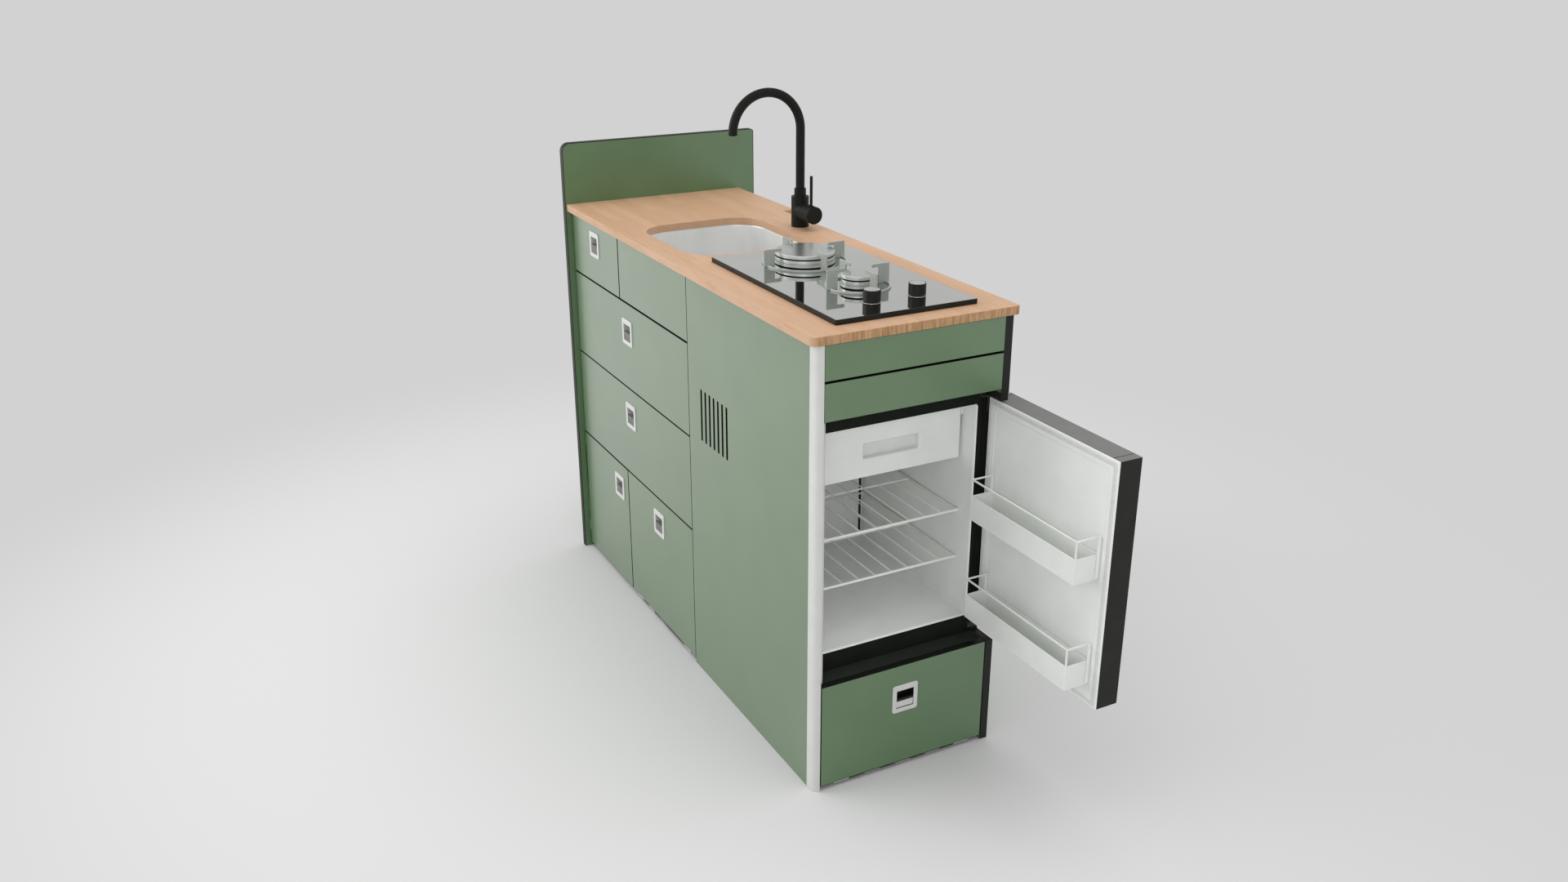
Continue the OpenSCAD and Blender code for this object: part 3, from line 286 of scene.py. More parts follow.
def bamboo_board():
    """Oiled laminated bamboo: strips in slightly different tones, fibres drawn 1.6 mm wide to
    show, and darker end grain where the strips are cut."""
    strip_wide, strip_long, fibre_wide, flame_wide, stripe_wide = 22, 420, 1.6, 28, 4
    end_deep, fibre_deep = 3.2, 0.05
    m = plain("oiled_bamboo_board", "#C19A79", 0.5, Coat_Weight=0.08, Coat_Roughness=0.4)
    tree = m.node_tree
    shader = tree.nodes["Principled BSDF"]
    place = add(tree, "ShaderNodeTexCoord")
    split = add(tree, "ShaderNodeSeparateXYZ", Vector=(place, "Object"))
    across = add(tree, "ShaderNodeMath", {"operation": "DIVIDE"}, i0=(split, 1),
                 i1=strip_wide * mm)
    strip = add(tree, "ShaderNodeMath", {"operation": "FLOOR"}, i0=(across, 0))
    shift = add(tree, "ShaderNodeTexWhiteNoise", {"noise_dimensions": "1D"}, W=(strip, 0))
    along = add(tree, "ShaderNodeMath", {"operation": "DIVIDE"}, i0=(split, 0),
                i1=strip_long * mm)
    moved = add(tree, "ShaderNodeMath", {"operation": "ADD"}, i0=(along, 0), i1=(shift, 0))
    piece = add(tree, "ShaderNodeMath", {"operation": "FLOOR"}, i0=(moved, 0))
    key = add(tree, "ShaderNodeCombineXYZ", X=(strip, 0), Y=(piece, 0))
    tone = add(tree, "ShaderNodeTexWhiteNoise", {"noise_dimensions": "3D"}, Vector=(key, 0))
    base = add(tree, "ShaderNodeMix", {"data_type": "RGBA"}, i0=(tone, 0),
               i6=linear("#C19A79"), i7=linear("#CAA485"))
    # Fibres: 80 mm long, and 16 mm deep so that the cut end shows stripes.
    drawn = add(tree, "ShaderNodeMapping", Vector=(place, "Object"), Scale=(0.02, 1, 0.1))
    fibre = add(tree, "ShaderNodeTexNoise", Vector=(drawn, 0), Scale=1000 / fibre_wide,
                Detail=3.0, Roughness=0.6)
    dark = add(tree, "ShaderNodeMapRange", i0=(fibre, 0), i1=0.5, i2=0.72)
    fleck = add(tree, "ShaderNodeMath", {"operation": "MULTIPLY"}, i0=(dark, 0), i1=0.5)
    fibred = add(tree, "ShaderNodeMix", {"data_type": "RGBA"}, i0=(fleck, 0), i6=(base, 2),
                 i7=linear("#B0845C"))
    # Darker flames: long patches that run along the board.
    flame_map = add(tree, "ShaderNodeMapping", Vector=(place, "Object"), Scale=(0.16, 1, 1))
    flame = add(tree, "ShaderNodeTexNoise", Vector=(flame_map, 0), Scale=1000 / flame_wide,
                Detail=5.0, Roughness=0.65)
    flamed = add(tree, "ShaderNodeMapRange", i0=(flame, 0), i1=0.56, i2=0.72, i4=0.55)
    mixed = add(tree, "ShaderNodeMix", {"data_type": "RGBA"}, i0=(flamed, 0), i6=(fibred, 2),
                i7=linear("#BA9067"))
    # End grain: oil soaks in, so the stripes there have more contrast.
    end = between(tree, place, "X", worktop_end - end_deep, worktop_end)
    stripe = add(tree, "ShaderNodeMapping", Vector=(place, "Object"), Scale=(0.2, 1, 0.08))
    cut = add(tree, "ShaderNodeTexNoise", Vector=(stripe, 0), Scale=1000 / stripe_wide,
              Detail=4.0, Roughness=0.7)
    ramp = add(tree, "ShaderNodeMapRange", i0=(cut, 0), i1=0.42, i2=0.62)
    grain = add(tree, "ShaderNodeMix", {"data_type": "RGBA"}, i0=(ramp, 0),
                i6=linear("#C39A72"), i7=linear("#9F7549"))
    whole = add(tree, "ShaderNodeMix", {"data_type": "RGBA"}, i0=(end, 0), i6=(mixed, 2),
                i7=(grain, 2))
    tree.links.new(whole.outputs[2], shader.inputs["Base Color"])
    rough = add(tree, "ShaderNodeMapRange", i0=(fibre, 0), i1=0.3, i2=0.7, i3=0.45, i4=0.58)
    tree.links.new(rough.outputs[0], shader.inputs["Roughness"])
    bump = add(tree, "ShaderNodeBump", Strength=0.5, Distance=fibre_deep * mm, Height=(fibre, 0))
    tree.links.new(bump.outputs[0], shader.inputs["Normal"])
    return m


def plywood_board():
    """Poplar plywood: pale face veneer, soft grain along its length, 2 mm plies on its edges."""
    ply_thick, contrast = 2, 0.12
    m = finish("poplar_plywood", ("#C5A983", "#D8C3A3"), 0.62, 18, 1.5, 0.05, (0.1, 1, 1))
    tree = m.node_tree
    place = add(tree, "ShaderNodeTexCoord")
    split = add(tree, "ShaderNodeSeparateXYZ", Vector=(place, "Object"))
    sum_xz = add(tree, "ShaderNodeMath", {"operation": "ADD"}, i0=(split, 0), i1=(split, 2))
    ply = add(tree, "ShaderNodeMath", {"operation": "DIVIDE"}, i0=(sum_xz, 0), i1=ply_thick * mm)
    odd = add(tree, "ShaderNodeMath", {"operation": "PINGPONG"}, i0=(ply, 0), i1=1.0)
    faint = add(tree, "ShaderNodeMath", {"operation": "MULTIPLY"}, i0=(odd, 0), i1=contrast)
    paint_over(m, faint, "#A98A60")
    return m


alloy = burner_alloy()
sink_steel = brushed_steel("satin_stainless_sink", ("#E4E5E4", "#EEEFEE"), 0.4, (1, 1, 0.06), 0.5)
sheet_steel = brushed_steel("stainless_sheet", ("#C6C9C9", "#D4D6D6"), 0.32, (0.05, 1, 1), 0.92)
bamboo = bamboo_board()
plywood = plywood_board()


# ---- modelling helpers ----


def only(obj):
    """Leaves one object selected and active."""
    bpy.ops.object.select_all(action="DESELECT")
    obj.select_set(True)
    bpy.context.view_layer.objects.active = obj


def pick(obj, kind, test):
    """In edit mode, selects the verts, edges or faces for which the test holds."""
    bpy.ops.mesh.select_mode(type=kind)
    bpy.ops.mesh.select_all(action="DESELECT")
    mesh = bmesh.from_edit_mesh(obj.data)
    for item in {"VERT": mesh.verts, "EDGE": mesh.edges, "FACE": mesh.faces}[kind]:
        if test(item):
            item.select_set(True)
    mesh.select_flush_mode()
    bmesh.update_edit_mesh(obj.data)


def in_metres(point):
    """A point or a shift in mm as the one in metres that an operator wants."""
    return tuple(c * mm for c in point)


def middle(low, high):
    """The point halfway between two corners."""
    return tuple((a + b) / 2 for a, b in zip(low, high))


def push(move, scale=None, centre=(0, 0, 0)):
    """Extrudes what is selected, moves it in mm and may scale it about a centre."""
    bpy.ops.mesh.extrude_region_move(TRANSFORM_OT_translate={"value": in_metres(move)})
    if scale:
        bpy.ops.transform.resize(value=scale, center_override=in_metres(centre))


def inset(rim, rise=0.0):
    """Insets the selected face by a rim in mm and may raise it."""
    bpy.ops.mesh.inset(thickness=rim * mm, depth=rise * mm)


def curve_in(across, down, steps, over=False):
    """Insets the selected face in steps along a quarter of an ellipse in mm: hollow, as at the
    foot of a wall, or over an edge."""
    for i in range(steps):
        a, b = quarter * i / steps, quarter * (i + 1) / steps
        rim, drop = math.cos(a) - math.cos(b), math.sin(b) - math.sin(a)
        if over:
            rim, drop = drop, rim
        inset(across * rim, -down * drop)


def new_plate(name, width, height, radius, steps):
    """A plate with rounded corners, facing up, left in edit mode with its face selected."""
    bpy.ops.object.select_all(action="DESELECT")
    bpy.ops.mesh.primitive_plane_add(size=1, location=(0, 0, 0))
    obj = bpy.context.active_object
    obj.name = obj.data.name = name
    bpy.ops.object.mode_set(mode="EDIT")
    bpy.ops.mesh.select_mode(type="VERT")
    bpy.ops.mesh.select_all(action="SELECT")
    bpy.ops.transform.resize(value=(width * mm, height * mm, 1), center_override=(0, 0, 0))
    bpy.ops.mesh.bevel(offset=radius * mm, segments=steps, affect="VERTICES")
    bpy.ops.mesh.select_mode(type="FACE")
    bpy.ops.mesh.select_all(action="SELECT")
    return obj


def new_block(name, low, high, ease, steps=2):
    """A board or block between two corners in mm, with all its edges eased."""
    bpy.ops.object.select_all(action="DESELECT")
    bpy.ops.mesh.primitive_cube_add(size=1, location=in_metres(middle(low, high)))
    obj = bpy.context.active_object
    obj.name = obj.data.name = name
    obj.scale = in_metres(b - a for a, b in zip(low, high))
    bpy.ops.object.transform_apply(location=True, rotation=True, scale=True)
    bpy.ops.object.mode_set(mode="EDIT")
    bpy.ops.mesh.select_all(action="SELECT")
    bpy.ops.mesh.bevel(offset=ease * mm, segments=steps, affect="EDGES")
    bpy.ops.object.mode_set(mode="OBJECT")
    return obj


def new_disc(name, radius, height):
    """A round block that stands on the origin, left in edit mode with its top selected."""
    bpy.ops.object.select_all(action="DESELECT")
    bpy.ops.mesh.primitive_cylinder_add(vertices=64, radius=radius * mm, depth=height * mm,
                                        location=(0, 0, height / 2 * mm))
    obj = bpy.context.active_object
    obj.name = obj.data.name = name
    bpy.ops.object.transform_apply(location=True)
    bpy.ops.object.mode_set(mode="EDIT")
    pick(obj, "FACE", lambda face: face.normal.z > 0.99)
    return obj


def settle(obj, move, turn=(0, 0, 0)):
    """Turns and moves a piece, and leaves its object at the origin."""
    only(obj)
    obj.rotation_euler = turn
    obj.location = in_metres(move)
    bpy.ops.object.transform_apply(location=True, rotation=True, scale=True)


def thicken(obj, wall):
    """Gives a formed sheet its wall, in mm, on its underside."""
    only(obj)
    solid = obj.modifiers.new("wall", "SOLIDIFY")
    solid.thickness = wall * mm
    solid.offset = -1
    solid.use_even_offset = True
    bpy.ops.object.modifier_apply(modifier=solid.name)


def join(pieces):
    """Makes several pieces of one material set one object."""
    bpy.ops.object.select_all(action="DESELECT")
    for obj in pieces:
        obj.select_set(True)
    bpy.context.view_layer.objects.active = pieces[0]
    bpy.ops.object.join()
    return pieces[0]


def second_finish(obj, test):
    """Gives a piece's second finish to the faces for which the test holds."""
    for face in obj.data.polygons:
        face.material_index = 1 if test(face) else 0


def fit(obj, body, slot, *stands_for, mats):
    """Dresses a finished piece and puts it on its body, in place of the CAD nodes it stands for."""
    # Clearing an empty list would put every face back in the first material.
    if obj.data.materials:
        obj.data.materials.clear()
    for m in mats:
        obj.data.materials.append(m)
    only(obj)
    bpy.ops.object.shade_smooth_by_angle(angle=math.radians(35))
    flat = obj.modifiers.new("flat_faces", "WEIGHTED_NORMAL")
    flat.keep_sharp = True
    bpy.ops.object.modifier_apply(modifier=flat.name)
    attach(obj, body)
    if stands_for:
        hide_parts(*stands_for)
    return obj


def eased_copy(node, width, mat, longer=0.0, steps=2):
    """A copy of a CAD node as it leaves the workshop: merged, flat faces cleaned, sharp edges
    eased by a width in mm. Edges shorter than longer (mm) stay as they are."""
    sharp = math.radians(40)
    obj = bpy.data.objects.new(node + "_eased", nodes[node].data.copy())
    obj.data.name = obj.name
    bpy.context.scene.collection.objects.link(obj)
    only(obj)
    bpy.ops.object.mode_set(mode="EDIT")
    bpy.ops.mesh.select_mode(type="EDGE")
    bpy.ops.mesh.select_all(action="SELECT")
    bpy.ops.mesh.remove_doubles(threshold=0.01 * mm)
    bpy.ops.mesh.customdata_custom_splitnormals_clear()
    bpy.ops.mesh.dissolve_limited(angle_limit=math.radians(1))
    if width:
        pick(obj, "EDGE", lambda edge: len(edge.link_faces) == 2 and edge.calc_face_angle(0) > sharp
             and edge.calc_length() > longer * mm)
        bpy.ops.mesh.bevel(offset=width * mm, segments=steps, affect="EDGES",
                           clamp_overlap=not longer)
    bpy.ops.object.mode_set(mode="OBJECT")
    return fit(obj, body_of[node], slot_of[node], node, mats=(mat,))


def dress(mat, *names):
    """Gives CAD nodes that keep their shape a finish."""
    for name in names:
        nodes[name].data.materials.clear()
        nodes[name].data.materials.append(mat)


# ---- cabinet ----

for name in ("front_a", "false_front", "front_b", "front_c"):
    eased_copy(name, 1.2, lit_side_green)
eased_copy("vent_panel", 0.9, lit_side_green)
for name in ("door_d", "flap_e"):
    eased_copy(name, 1.2, lit_side_green, longer=20)
eased_copy("end_fascias", 1.0, shaded_end_green)
eased_copy("flap_f", 1.0, shaded_end_green, longer=20)
dress(shaded_panel_green, "end_panel", "back_panel")
dress(edging, "edge_trim")
# Lip of the edging inside the notch, down to the hinge plate.
notch_lip = new_block("notch_lip", (563, 183.6, 722.8), (609.4, 198.4, 737.2), 0.5)
fit(notch_lip, "cabinet", slot_of["edge_trim"], mats=(edging,))
eased_copy("bay_shelf", 0.6, shelf_black)
eased_copy("corner_post", 0.6, post_abs)
eased_copy("worktop", 1.6, bamboo, steps=3)
dress(plywood, "carcass_core")
for name in ("box_a", "box_b", "box_c"):
    eased_copy(name, 0.8, plywood)
dress(zinc, "runners", "flap_hinges")


# ---- sink and tap ----

sink_low, sink_high, bowl_deep = (-283, -158), (27, 121), 126


def pressed_bowl():
    """Sink bowl pressed from one sheet: flat flange under the worktop, upright walls, a wide
    radius to the bottom and a hole for the waste."""
    flange, lead_wide, lead_deep, corner, fillet, wall, waste_radius = 8, 2, 4, 80, 28, 1.5, 28.5
    outer = [b - a + 2 * (flange + lead_wide) for a, b in zip(sink_low, sink_high)]
    obj = new_plate("sink_bowl_pressed", *outer, corner, 12)
    inset(flange)
    lead = [(side - 2 * (flange + lead_wide)) / (side - 2 * flange) for side in outer]
    push((0, 0, -lead_deep), (*lead, 1))
    push((0, 0, -(bowl_deep - fillet - lead_deep)))
    curve_in(fillet, fillet, 8)
    inset(3)
    bpy.ops.mesh.select_all(action="SELECT")
    bpy.ops.mesh.normals_make_consistent(inside=False)
    bpy.ops.object.mode_set(mode="OBJECT")
    # The sheet's upper side has to look up, so that the wall grows outwards.
    if obj.data.polygons[0].normal.z < 0:
        obj.data.flip_normals()
    thicken(obj, wall)
    bpy.ops.object.select_all(action="DESELECT")
    bpy.ops.mesh.primitive_cylinder_add(vertices=64, radius=waste_radius * mm, depth=20 * mm,
                                        location=(0, 0, -bowl_deep * mm))
    drill = bpy.context.active_object
    only(obj)
    hole = obj.modifiers.new("waste_hole", "BOOLEAN")
    hole.object = drill
    bpy.ops.object.modifier_apply(modifier=hole.name)
    bpy.data.objects.remove(drill)
    settle(obj, (*middle(sink_low, sink_high), worktop_under))
    fit(obj, "cabinet", "steel", "sink_bowl", mats=(sink_steel,))


pressed_bowl()
eased_copy("sink_waste", 0.6, sheet_steel)
for name in ("tap_body", "tap_spout", "tap_hub"):
    eased_copy(name, 0.8, black_coat)
eased_copy("tap_lever", 0.6, black_coat)


# ---- hob ----

glass_low, glass_high, glass_z, glass_top = (69, -141), (567, 151), 900, 909.5
knob_places, knob_gap = {"large": (497, -28), "small": (497, 67)}, 2.6


def hob_glass():
    """Hob glass: a plate with small corners, and an edge ground in two steps."""
    corner, ground = 4, ((0.5, 0.7), (0.9, 0.3))
    obj = new_plate("hob_glass_ground", glass_high[0] - glass_low[0],
                    glass_high[1] - glass_low[1], corner, 5)
    push((0, 0, glass_top - glass_z - sum(rise for rim, rise in ground)))
    for rim, rise in ground:
        inset(rim, rise)
    bpy.ops.object.mode_set(mode="OBJECT")
    settle(obj, (*middle(glass_low, glass_high), glass_z))
    fit(obj, "cabinet", "glass_black", "hob_glass", mats=(glass_edge, mirror_glass))
    second_finish(obj, lambda face: face.normal.z > 0.999
                  and face.center.z > (glass_top - 0.1) * mm)


hob_glass()
dress(sheet_steel, "hob_tray")
eased_copy("burner_heads", 0.3, alloy)
for name in ("cap_large", "cap_small"):
    cap = eased_copy(name, 0.5, cap_top)
    cap.data.materials.append(cap_side)
    second_finish(cap, lambda face: face.normal.z <= 0.95)
for name in ("grid_large", "grid_small"):
    eased_copy(name, 0.5, enamel)
dress(zinc, "spindle_large", "spindle_small")


def control_knob(name):
    """A knob at the origin: black moulded body on a narrow waist, a grey disc let into its top."""
    radius, height, rim = 16, 20.4, 1.0
    top = height * mm
    obj = new_disc(name, radius, height)
    inset(rim)
    push((0, 0, -0.5))
    inset(0.3)
    push((0, 0, 0.6), (0.985, 0.985, 1), (0, 0, height))
    pick(obj, "EDGE", lambda edge: edge.calc_face_angle(0) > 0.9
         and abs(edge.verts[0].co.z - top) < 0.05 * mm
         and abs(edge.verts[1].co.z - edge.verts[0].co.z) < 0.01 * mm
         and edge.verts[0].co.xy.length > (radius - 0.5) * mm)
    bpy.ops.mesh.bevel(offset=0.5 * mm, segments=3, affect="EDGES")
    # The foot: a narrow waist above the glass.
    pick(obj, "FACE", lambda face: face.normal.z < -0.99)
    inset(0.8)
    inset(8, -2)
    bpy.ops.object.mode_set(mode="OBJECT")
    second_finish(obj, lambda face: face.normal.z > 0.9
                  and face.center.xy.length < (radius - rim - 0.1) * mm)
    return obj


def knob_collar(name):
    """The pale metal ring that lies on the glass under a knob."""
    radius, height = 17, 0.45
    obj = new_disc(name, radius, height)
    inset(0.3, 0.1)
    bpy.ops.object.mode_set(mode="OBJECT")
    return obj


for size, (x, y) in knob_places.items():
    knob = control_knob("knob_%s_turned" % size)
    settle(knob, (x, y, glass_top + knob_gap))
    fit(knob, "knob_" + size[0], "black_plastic", "knob_" + size, mats=(black_abs, disc_grey))
    collar = knob_collar("knob_%s_collar" % size)
    settle(collar, (x, y, glass_top))
    fit(collar, "cabinet", "burner_alloy", mats=(disc_grey,))


# ---- fridge ----

open_y, open_z, front_x, inner_deep = (-165, 166), (266.5, 701.5), 560, 398
shelf_heights = (477.04, 376.99)
flap_x, flap_thick, flap_low, flap_high = 520, 10, 585.5, 681.5


def formed_lining():
    """Fridge lining, formed from one sheet: a rounded lip at the front, rounded corners inside,
    with the shelf ribs, the freezer floor and the flap's stops and bearings."""
    lip, lip_deep, corner, fillet, wall, into = 3, 5, 6, 2.4, 2.6, 0.5
    obj = new_plate("fridge_lining_formed", open_z[1] - open_z[0] + 2 * lip,
                    open_y[1] - open_y[0] + 2 * lip, corner, 6)
    curve_in(lip, lip_deep, 4, over=True)
    push((0, 0, -(inner_deep - lip_deep - fillet)))
    curve_in(fillet, fillet, 4)
    bpy.ops.object.mode_set(mode="OBJECT")
    thicken(obj, wall)
    settle(obj, (front_x, sum(open_y) / 2, sum(open_z) / 2), (0, quarter, 0))
    parts = [obj]
    back = front_x - inner_deep
    # Each part starts a little inside the lining's wall.
    sides = ((1, open_y[0] - into), (-1, open_y[1] + into))
    for z in shelf_heights:
        for side, y in sides:
            low, high = sorted((y, y + side * 6.5))
            parts.append(new_block("rib", (back + 8, low, z - 8.6), (front_x - 44, high, z - 3.6),
                                   1.2))
    parts.append(new_block("freezer_floor", (back - into, open_y[0] - into, flap_low - 5),
                           (flap_x - 12, open_y[1] + into, flap_low - 2), 0.8))
    for side, y in sides:
        low, high = sorted((y, y + side * 10.5))
        parts.append(new_block("stop", (flap_x - 18, low, flap_low),
                               (flap_x - 10.2, high, flap_low + 60), 0.8))
        low, high = sorted((y, y + side * 4.5))
        parts.append(new_block("bearing", (flap_x - 10, low, flap_high - 10),
                               (flap_x - 2, high, open_z[1] + into), 0.8))
    fit(join(parts), "cabinet", "white_plastic", "fridge_liner", mats=(lining,))


def corner_shade_strip():
    """A black strip that runs up the fridge's rear corner: painted shade in the corner."""
    back = front_x - inner_deep
    obj = new_block("lining_corner_shade_strip", (back - 0.2, open_y[1] - 8.0, open_z[0] + 12),
                    (back + 1.2, open_y[1] - 2.6, flap_low - 6), 0.3)
    fit(obj, "cabinet", "black_plastic", mats=(cup_black_and_shade,))


def freezer_door():
    """Freezer flap: a soft-edged moulded panel with a long finger recess and two pins."""
    gap, grip_wide, grip_high, pin_radius, pin_long = 5.4, 60, 15, 2, 8
    low_y, high_y = open_y[0] + gap, open_y[1] - gap
    grip_y, grip_z = sum(open_y) / 2 + 8, flap_low + 51

    def in_grip(point, slack=0):
        return (abs(point.y / mm - grip_y) < grip_wide + slack
                and abs(point.z / mm - grip_z) < grip_high + slack)

    obj = new_block("freezer_flap_moulded", (flap_x - flap_thick, low_y, flap_low),
                    (flap_x, high_y, flap_high + 5), 1.4, 3)
    bpy.ops.object.mode_set(mode="EDIT")
    for across, spots in (((0, 1, 0), (grip_y - grip_wide, grip_y + grip_wide)),
                          ((0, 0, 1), (grip_z - grip_high, grip_z + grip_high))):
        for spot in spots:
            bpy.ops.mesh.select_all(action="SELECT")
            bpy.ops.mesh.bisect(plane_co=[c * spot * mm for c in across], plane_no=across)
    pick(obj, "FACE", lambda face: face.normal.x > 0.99 and in_grip(face.calc_center_median(), -1))
    push((-6, 0, 0), (1, 0.97, 0.9), (flap_x, grip_y, grip_z))
    push((-16, 0, 0), (1, 0.99, 0.96), (flap_x, grip_y, grip_z))
    pick(obj, "EDGE", lambda edge: edge.calc_face_angle(0) > 0.7
         and all(in_grip(vert.co, 0.5) for vert in edge.verts))
    bpy.ops.mesh.bevel(offset=2.2 * mm, segments=3, affect="EDGES")
    bpy.ops.object.mode_set(mode="OBJECT")
    pins = []
    for y in (low_y - 2, high_y + 2):
        bpy.ops.object.select_all(action="DESELECT")
        bpy.ops.mesh.primitive_cylinder_add(vertices=24, radius=pin_radius * mm,
                                            depth=pin_long * mm, rotation=(quarter, 0, 0),
                                            location=in_metres((flap_x - 7.5, y, flap_high - 4)))
        pins.append(bpy.context.active_object)
    obj = fit(join([obj, *pins]), "freezer_flap", "white_plastic", "freezer_flap",
              mats=(lining, shaded_recess_white))
    # The grip's faces take the darker white: painted shade in the recess.
    second_finish(obj, lambda face: in_grip(face.center)
                  and flap_x - 24 < face.center.x / mm < flap_x - 1.5)


formed_lining()
# Painted shade: a black strip in the lining's rear corner.
corner_shade_strip()
freezer_door()
eased_copy("fridge_case", 0.8, frame_abs)
eased_copy("shelf_upper", 0, wire_coat)
eased_copy("shelf_lower", 0, wire_coat)
eased_copy("hinge_plates", 0.4, bracket)


# ---- fridge door ----

door_low, door_high, door_inner = (570, 249), (926, 719), 187


def door_skin():
    """Outer skin of the door with its knuckles; the end profiles at top and bottom are grey."""
    obj = eased_copy("door_shell", 0.7, black_abs)
    obj.data.materials.append(grey_cap)
    second_finish(obj, lambda face: abs(face.normal.z) > 0.7
                  and not door_low[1] + 1 < face.center.z / mm < door_high[1] - 1)


def door_panel():
    """Inner panel of the door: a shallow formed field inside a flat border, and bosses for the
    bins."""
    thick, border, slope, sunk = 3, 19, 3, 1.6
    boss_wide, boss_high = 3.2, 78
    obj = new_block("door_panel_formed", (door_low[0], door_inner, door_low[1]),
                    (door_high[0], door_inner + thick, door_high[1]), 1.2, 3)
    bpy.ops.object.mode_set(mode="EDIT")
    pick(obj, "FACE", lambda face: face.normal.y < -0.99)
    inset(border)
    inset(slope, -sunk)
    # The outline of the field is crisp, and its foot is soft.
    bpy.ops.mesh.select_more()
    bpy.ops.mesh.region_to_loop()
    bpy.ops.mesh.mark_sharp()
    bpy.ops.object.mode_set(mode="OBJECT")
    parts = [obj]
    for x in (594.6, 898.2):
        for z in (shelf_heights[0] + 20, open_z[0] + 24.5):
            parts.append(new_block("boss", (x, door_inner - 6, z),
                                   (x + boss_wide, door_inner + 1, z + boss_high), 1.0, 3))
    fit(join(parts), "fridge_door", "white_plastic", "door_liner", mats=(lining,))


def door_seal():
    """Bellows seal round the inner panel, with one long groove."""
    margin, wall, sunk = 4, 0.9, 0.55
    folds = ((0.8, 0.5), (2.6, 0.1), (0.7, -0.9), (0.7, 0.9), (2.6, -0.1), (0.8, -0.5))
    obj = new_plate("door_seal_bellows", door_high[0] - door_low[0] - 2 * margin,
                    door_high[1] - door_low[1] - 2 * margin, 5, 4)
    for rim, rise in folds:
        inset(rim, rise)
    bpy.ops.mesh.delete(type="FACE")
    bpy.ops.object.mode_set(mode="OBJECT")
    thicken(obj, wall)
    x, z = middle(door_low, door_high)
    settle(obj, (x, door_inner - sunk, z), (quarter, 0, 0))
    fit(obj, "fridge_door", "seal", "door_gasket", mats=(seal,))


door_skin()
door_panel()
door_seal()
eased_copy("door_bins", 0.7, bin_white)


# ---- latches ----

latch_w, latch_h, latch_rim, cup_deep = 56, 59, 9, 17.5
cup_w, cup_h = latch_w - 2 * latch_rim, latch_h - 2 * latch_rim
# The visible mouth of the cup is a square: its upper rim is the widest.
mouth_low, mouth_high = -cup_h / 2, cup_h / 2 - 3
paddle_low, paddle_high, finger_strip = -cup_h / 2 + 0.6, -cup_h / 2 + 20, 4.6
# For each latch: its place across, the top edge of its front, and how far below that it sits.
latches = {"a": (-447, 884, 23), "b": (-260.5, 740, 39), "c": (-260.5, 537, 37),
           "d": (-356, 323, 33), "e": (-113.5, 323, 33), "f": (-1.5, 225, 42)}


def latch_frame(name):
    """Push latch frame: a rounded lip 2 mm proud, and behind it a deep cup in a second colour."""
    proud, flat, ease, cup_wall, cup_floor, slack = 2, 4, 0.7, 1.4, 1.3, 0.1
    obj = new_plate(name, latch_w, latch_h, 5, 5)
    push((0, 0, proud))
    inset(flat)
    narrow_x = cup_w / (latch_w - 2 * flat)
    narrow_y = (mouth_high - mouth_low) / (latch_h - 2 * flat)
    centre_y = (mouth_high - (latch_h / 2 - flat) * narrow_y) / (1 - narrow_y)
    push((0, 0, 0), (narrow_x, narrow_y, 1), (0, centre_y, proud))
    push((0, 0, -(cup_deep + proud)))
    # The cup's outer wall grows from the back of the plate.
    pick(obj, "FACE", lambda face: face.normal.z < -0.9
         and abs(face.calc_center_median().z) < slack * mm)
    push((0, 0, 0), ((cup_w + 2 * cup_wall) / latch_w, (cup_h + 2 * cup_wall) / latch_h, 1))
    push((0, 0, -(cup_deep + cup_floor)))
    pick(obj, "EDGE", lambda edge: edge.calc_face_angle(0) > 0.7
         and min(vert.co.z for vert in edge.verts) > (proud - slack) * mm)
    bpy.ops.mesh.bevel(offset=ease * mm, segments=3, affect="EDGES")
    bpy.ops.object.mode_set(mode="OBJECT")

    def in_cup(face):
        x, y, z = (c / mm for c in face.center)
        return (abs(x) < cup_w / 2 + slack and mouth_low - slack < y < mouth_high + slack
                and -cup_deep - slack < z < proud - ease - 0.01)

    second_finish(obj, in_cup)
    return obj


def latch_paddle(name):
    """Paddle in the lower half of the cup: its face slopes inwards to the pivot, and its upper
    edge is a finger strip with a lip behind."""
    half = cup_w / 2 - 0.4
    strip_low = (paddle_high - finger_strip) * mm
    plate = new_block(name, (-half, paddle_low, -1), (half, paddle_high, 2), 0.6, 3)
    bpy.ops.object.mode_set(mode="EDIT")
    pick(plate, "VERT", lambda vert: vert.co.z > 0 and vert.co.y < (paddle_low + 2) * mm)
    bpy.ops.transform.translate(value=(0, 0, -1.8 * mm))
    bpy.ops.mesh.select_all(action="SELECT")
    bpy.ops.mesh.bisect(plane_co=(0, strip_low, 0), plane_no=(0, 1, 0))
    bpy.ops.object.mode_set(mode="OBJECT")
    lip = new_block("lip", (-half, paddle_high - 2.5, -5), (half, paddle_high, -0.5), 0.6)
    obj = join([plate, lip])
    second_finish(obj, lambda face: face.center.y > strip_low)
    return obj


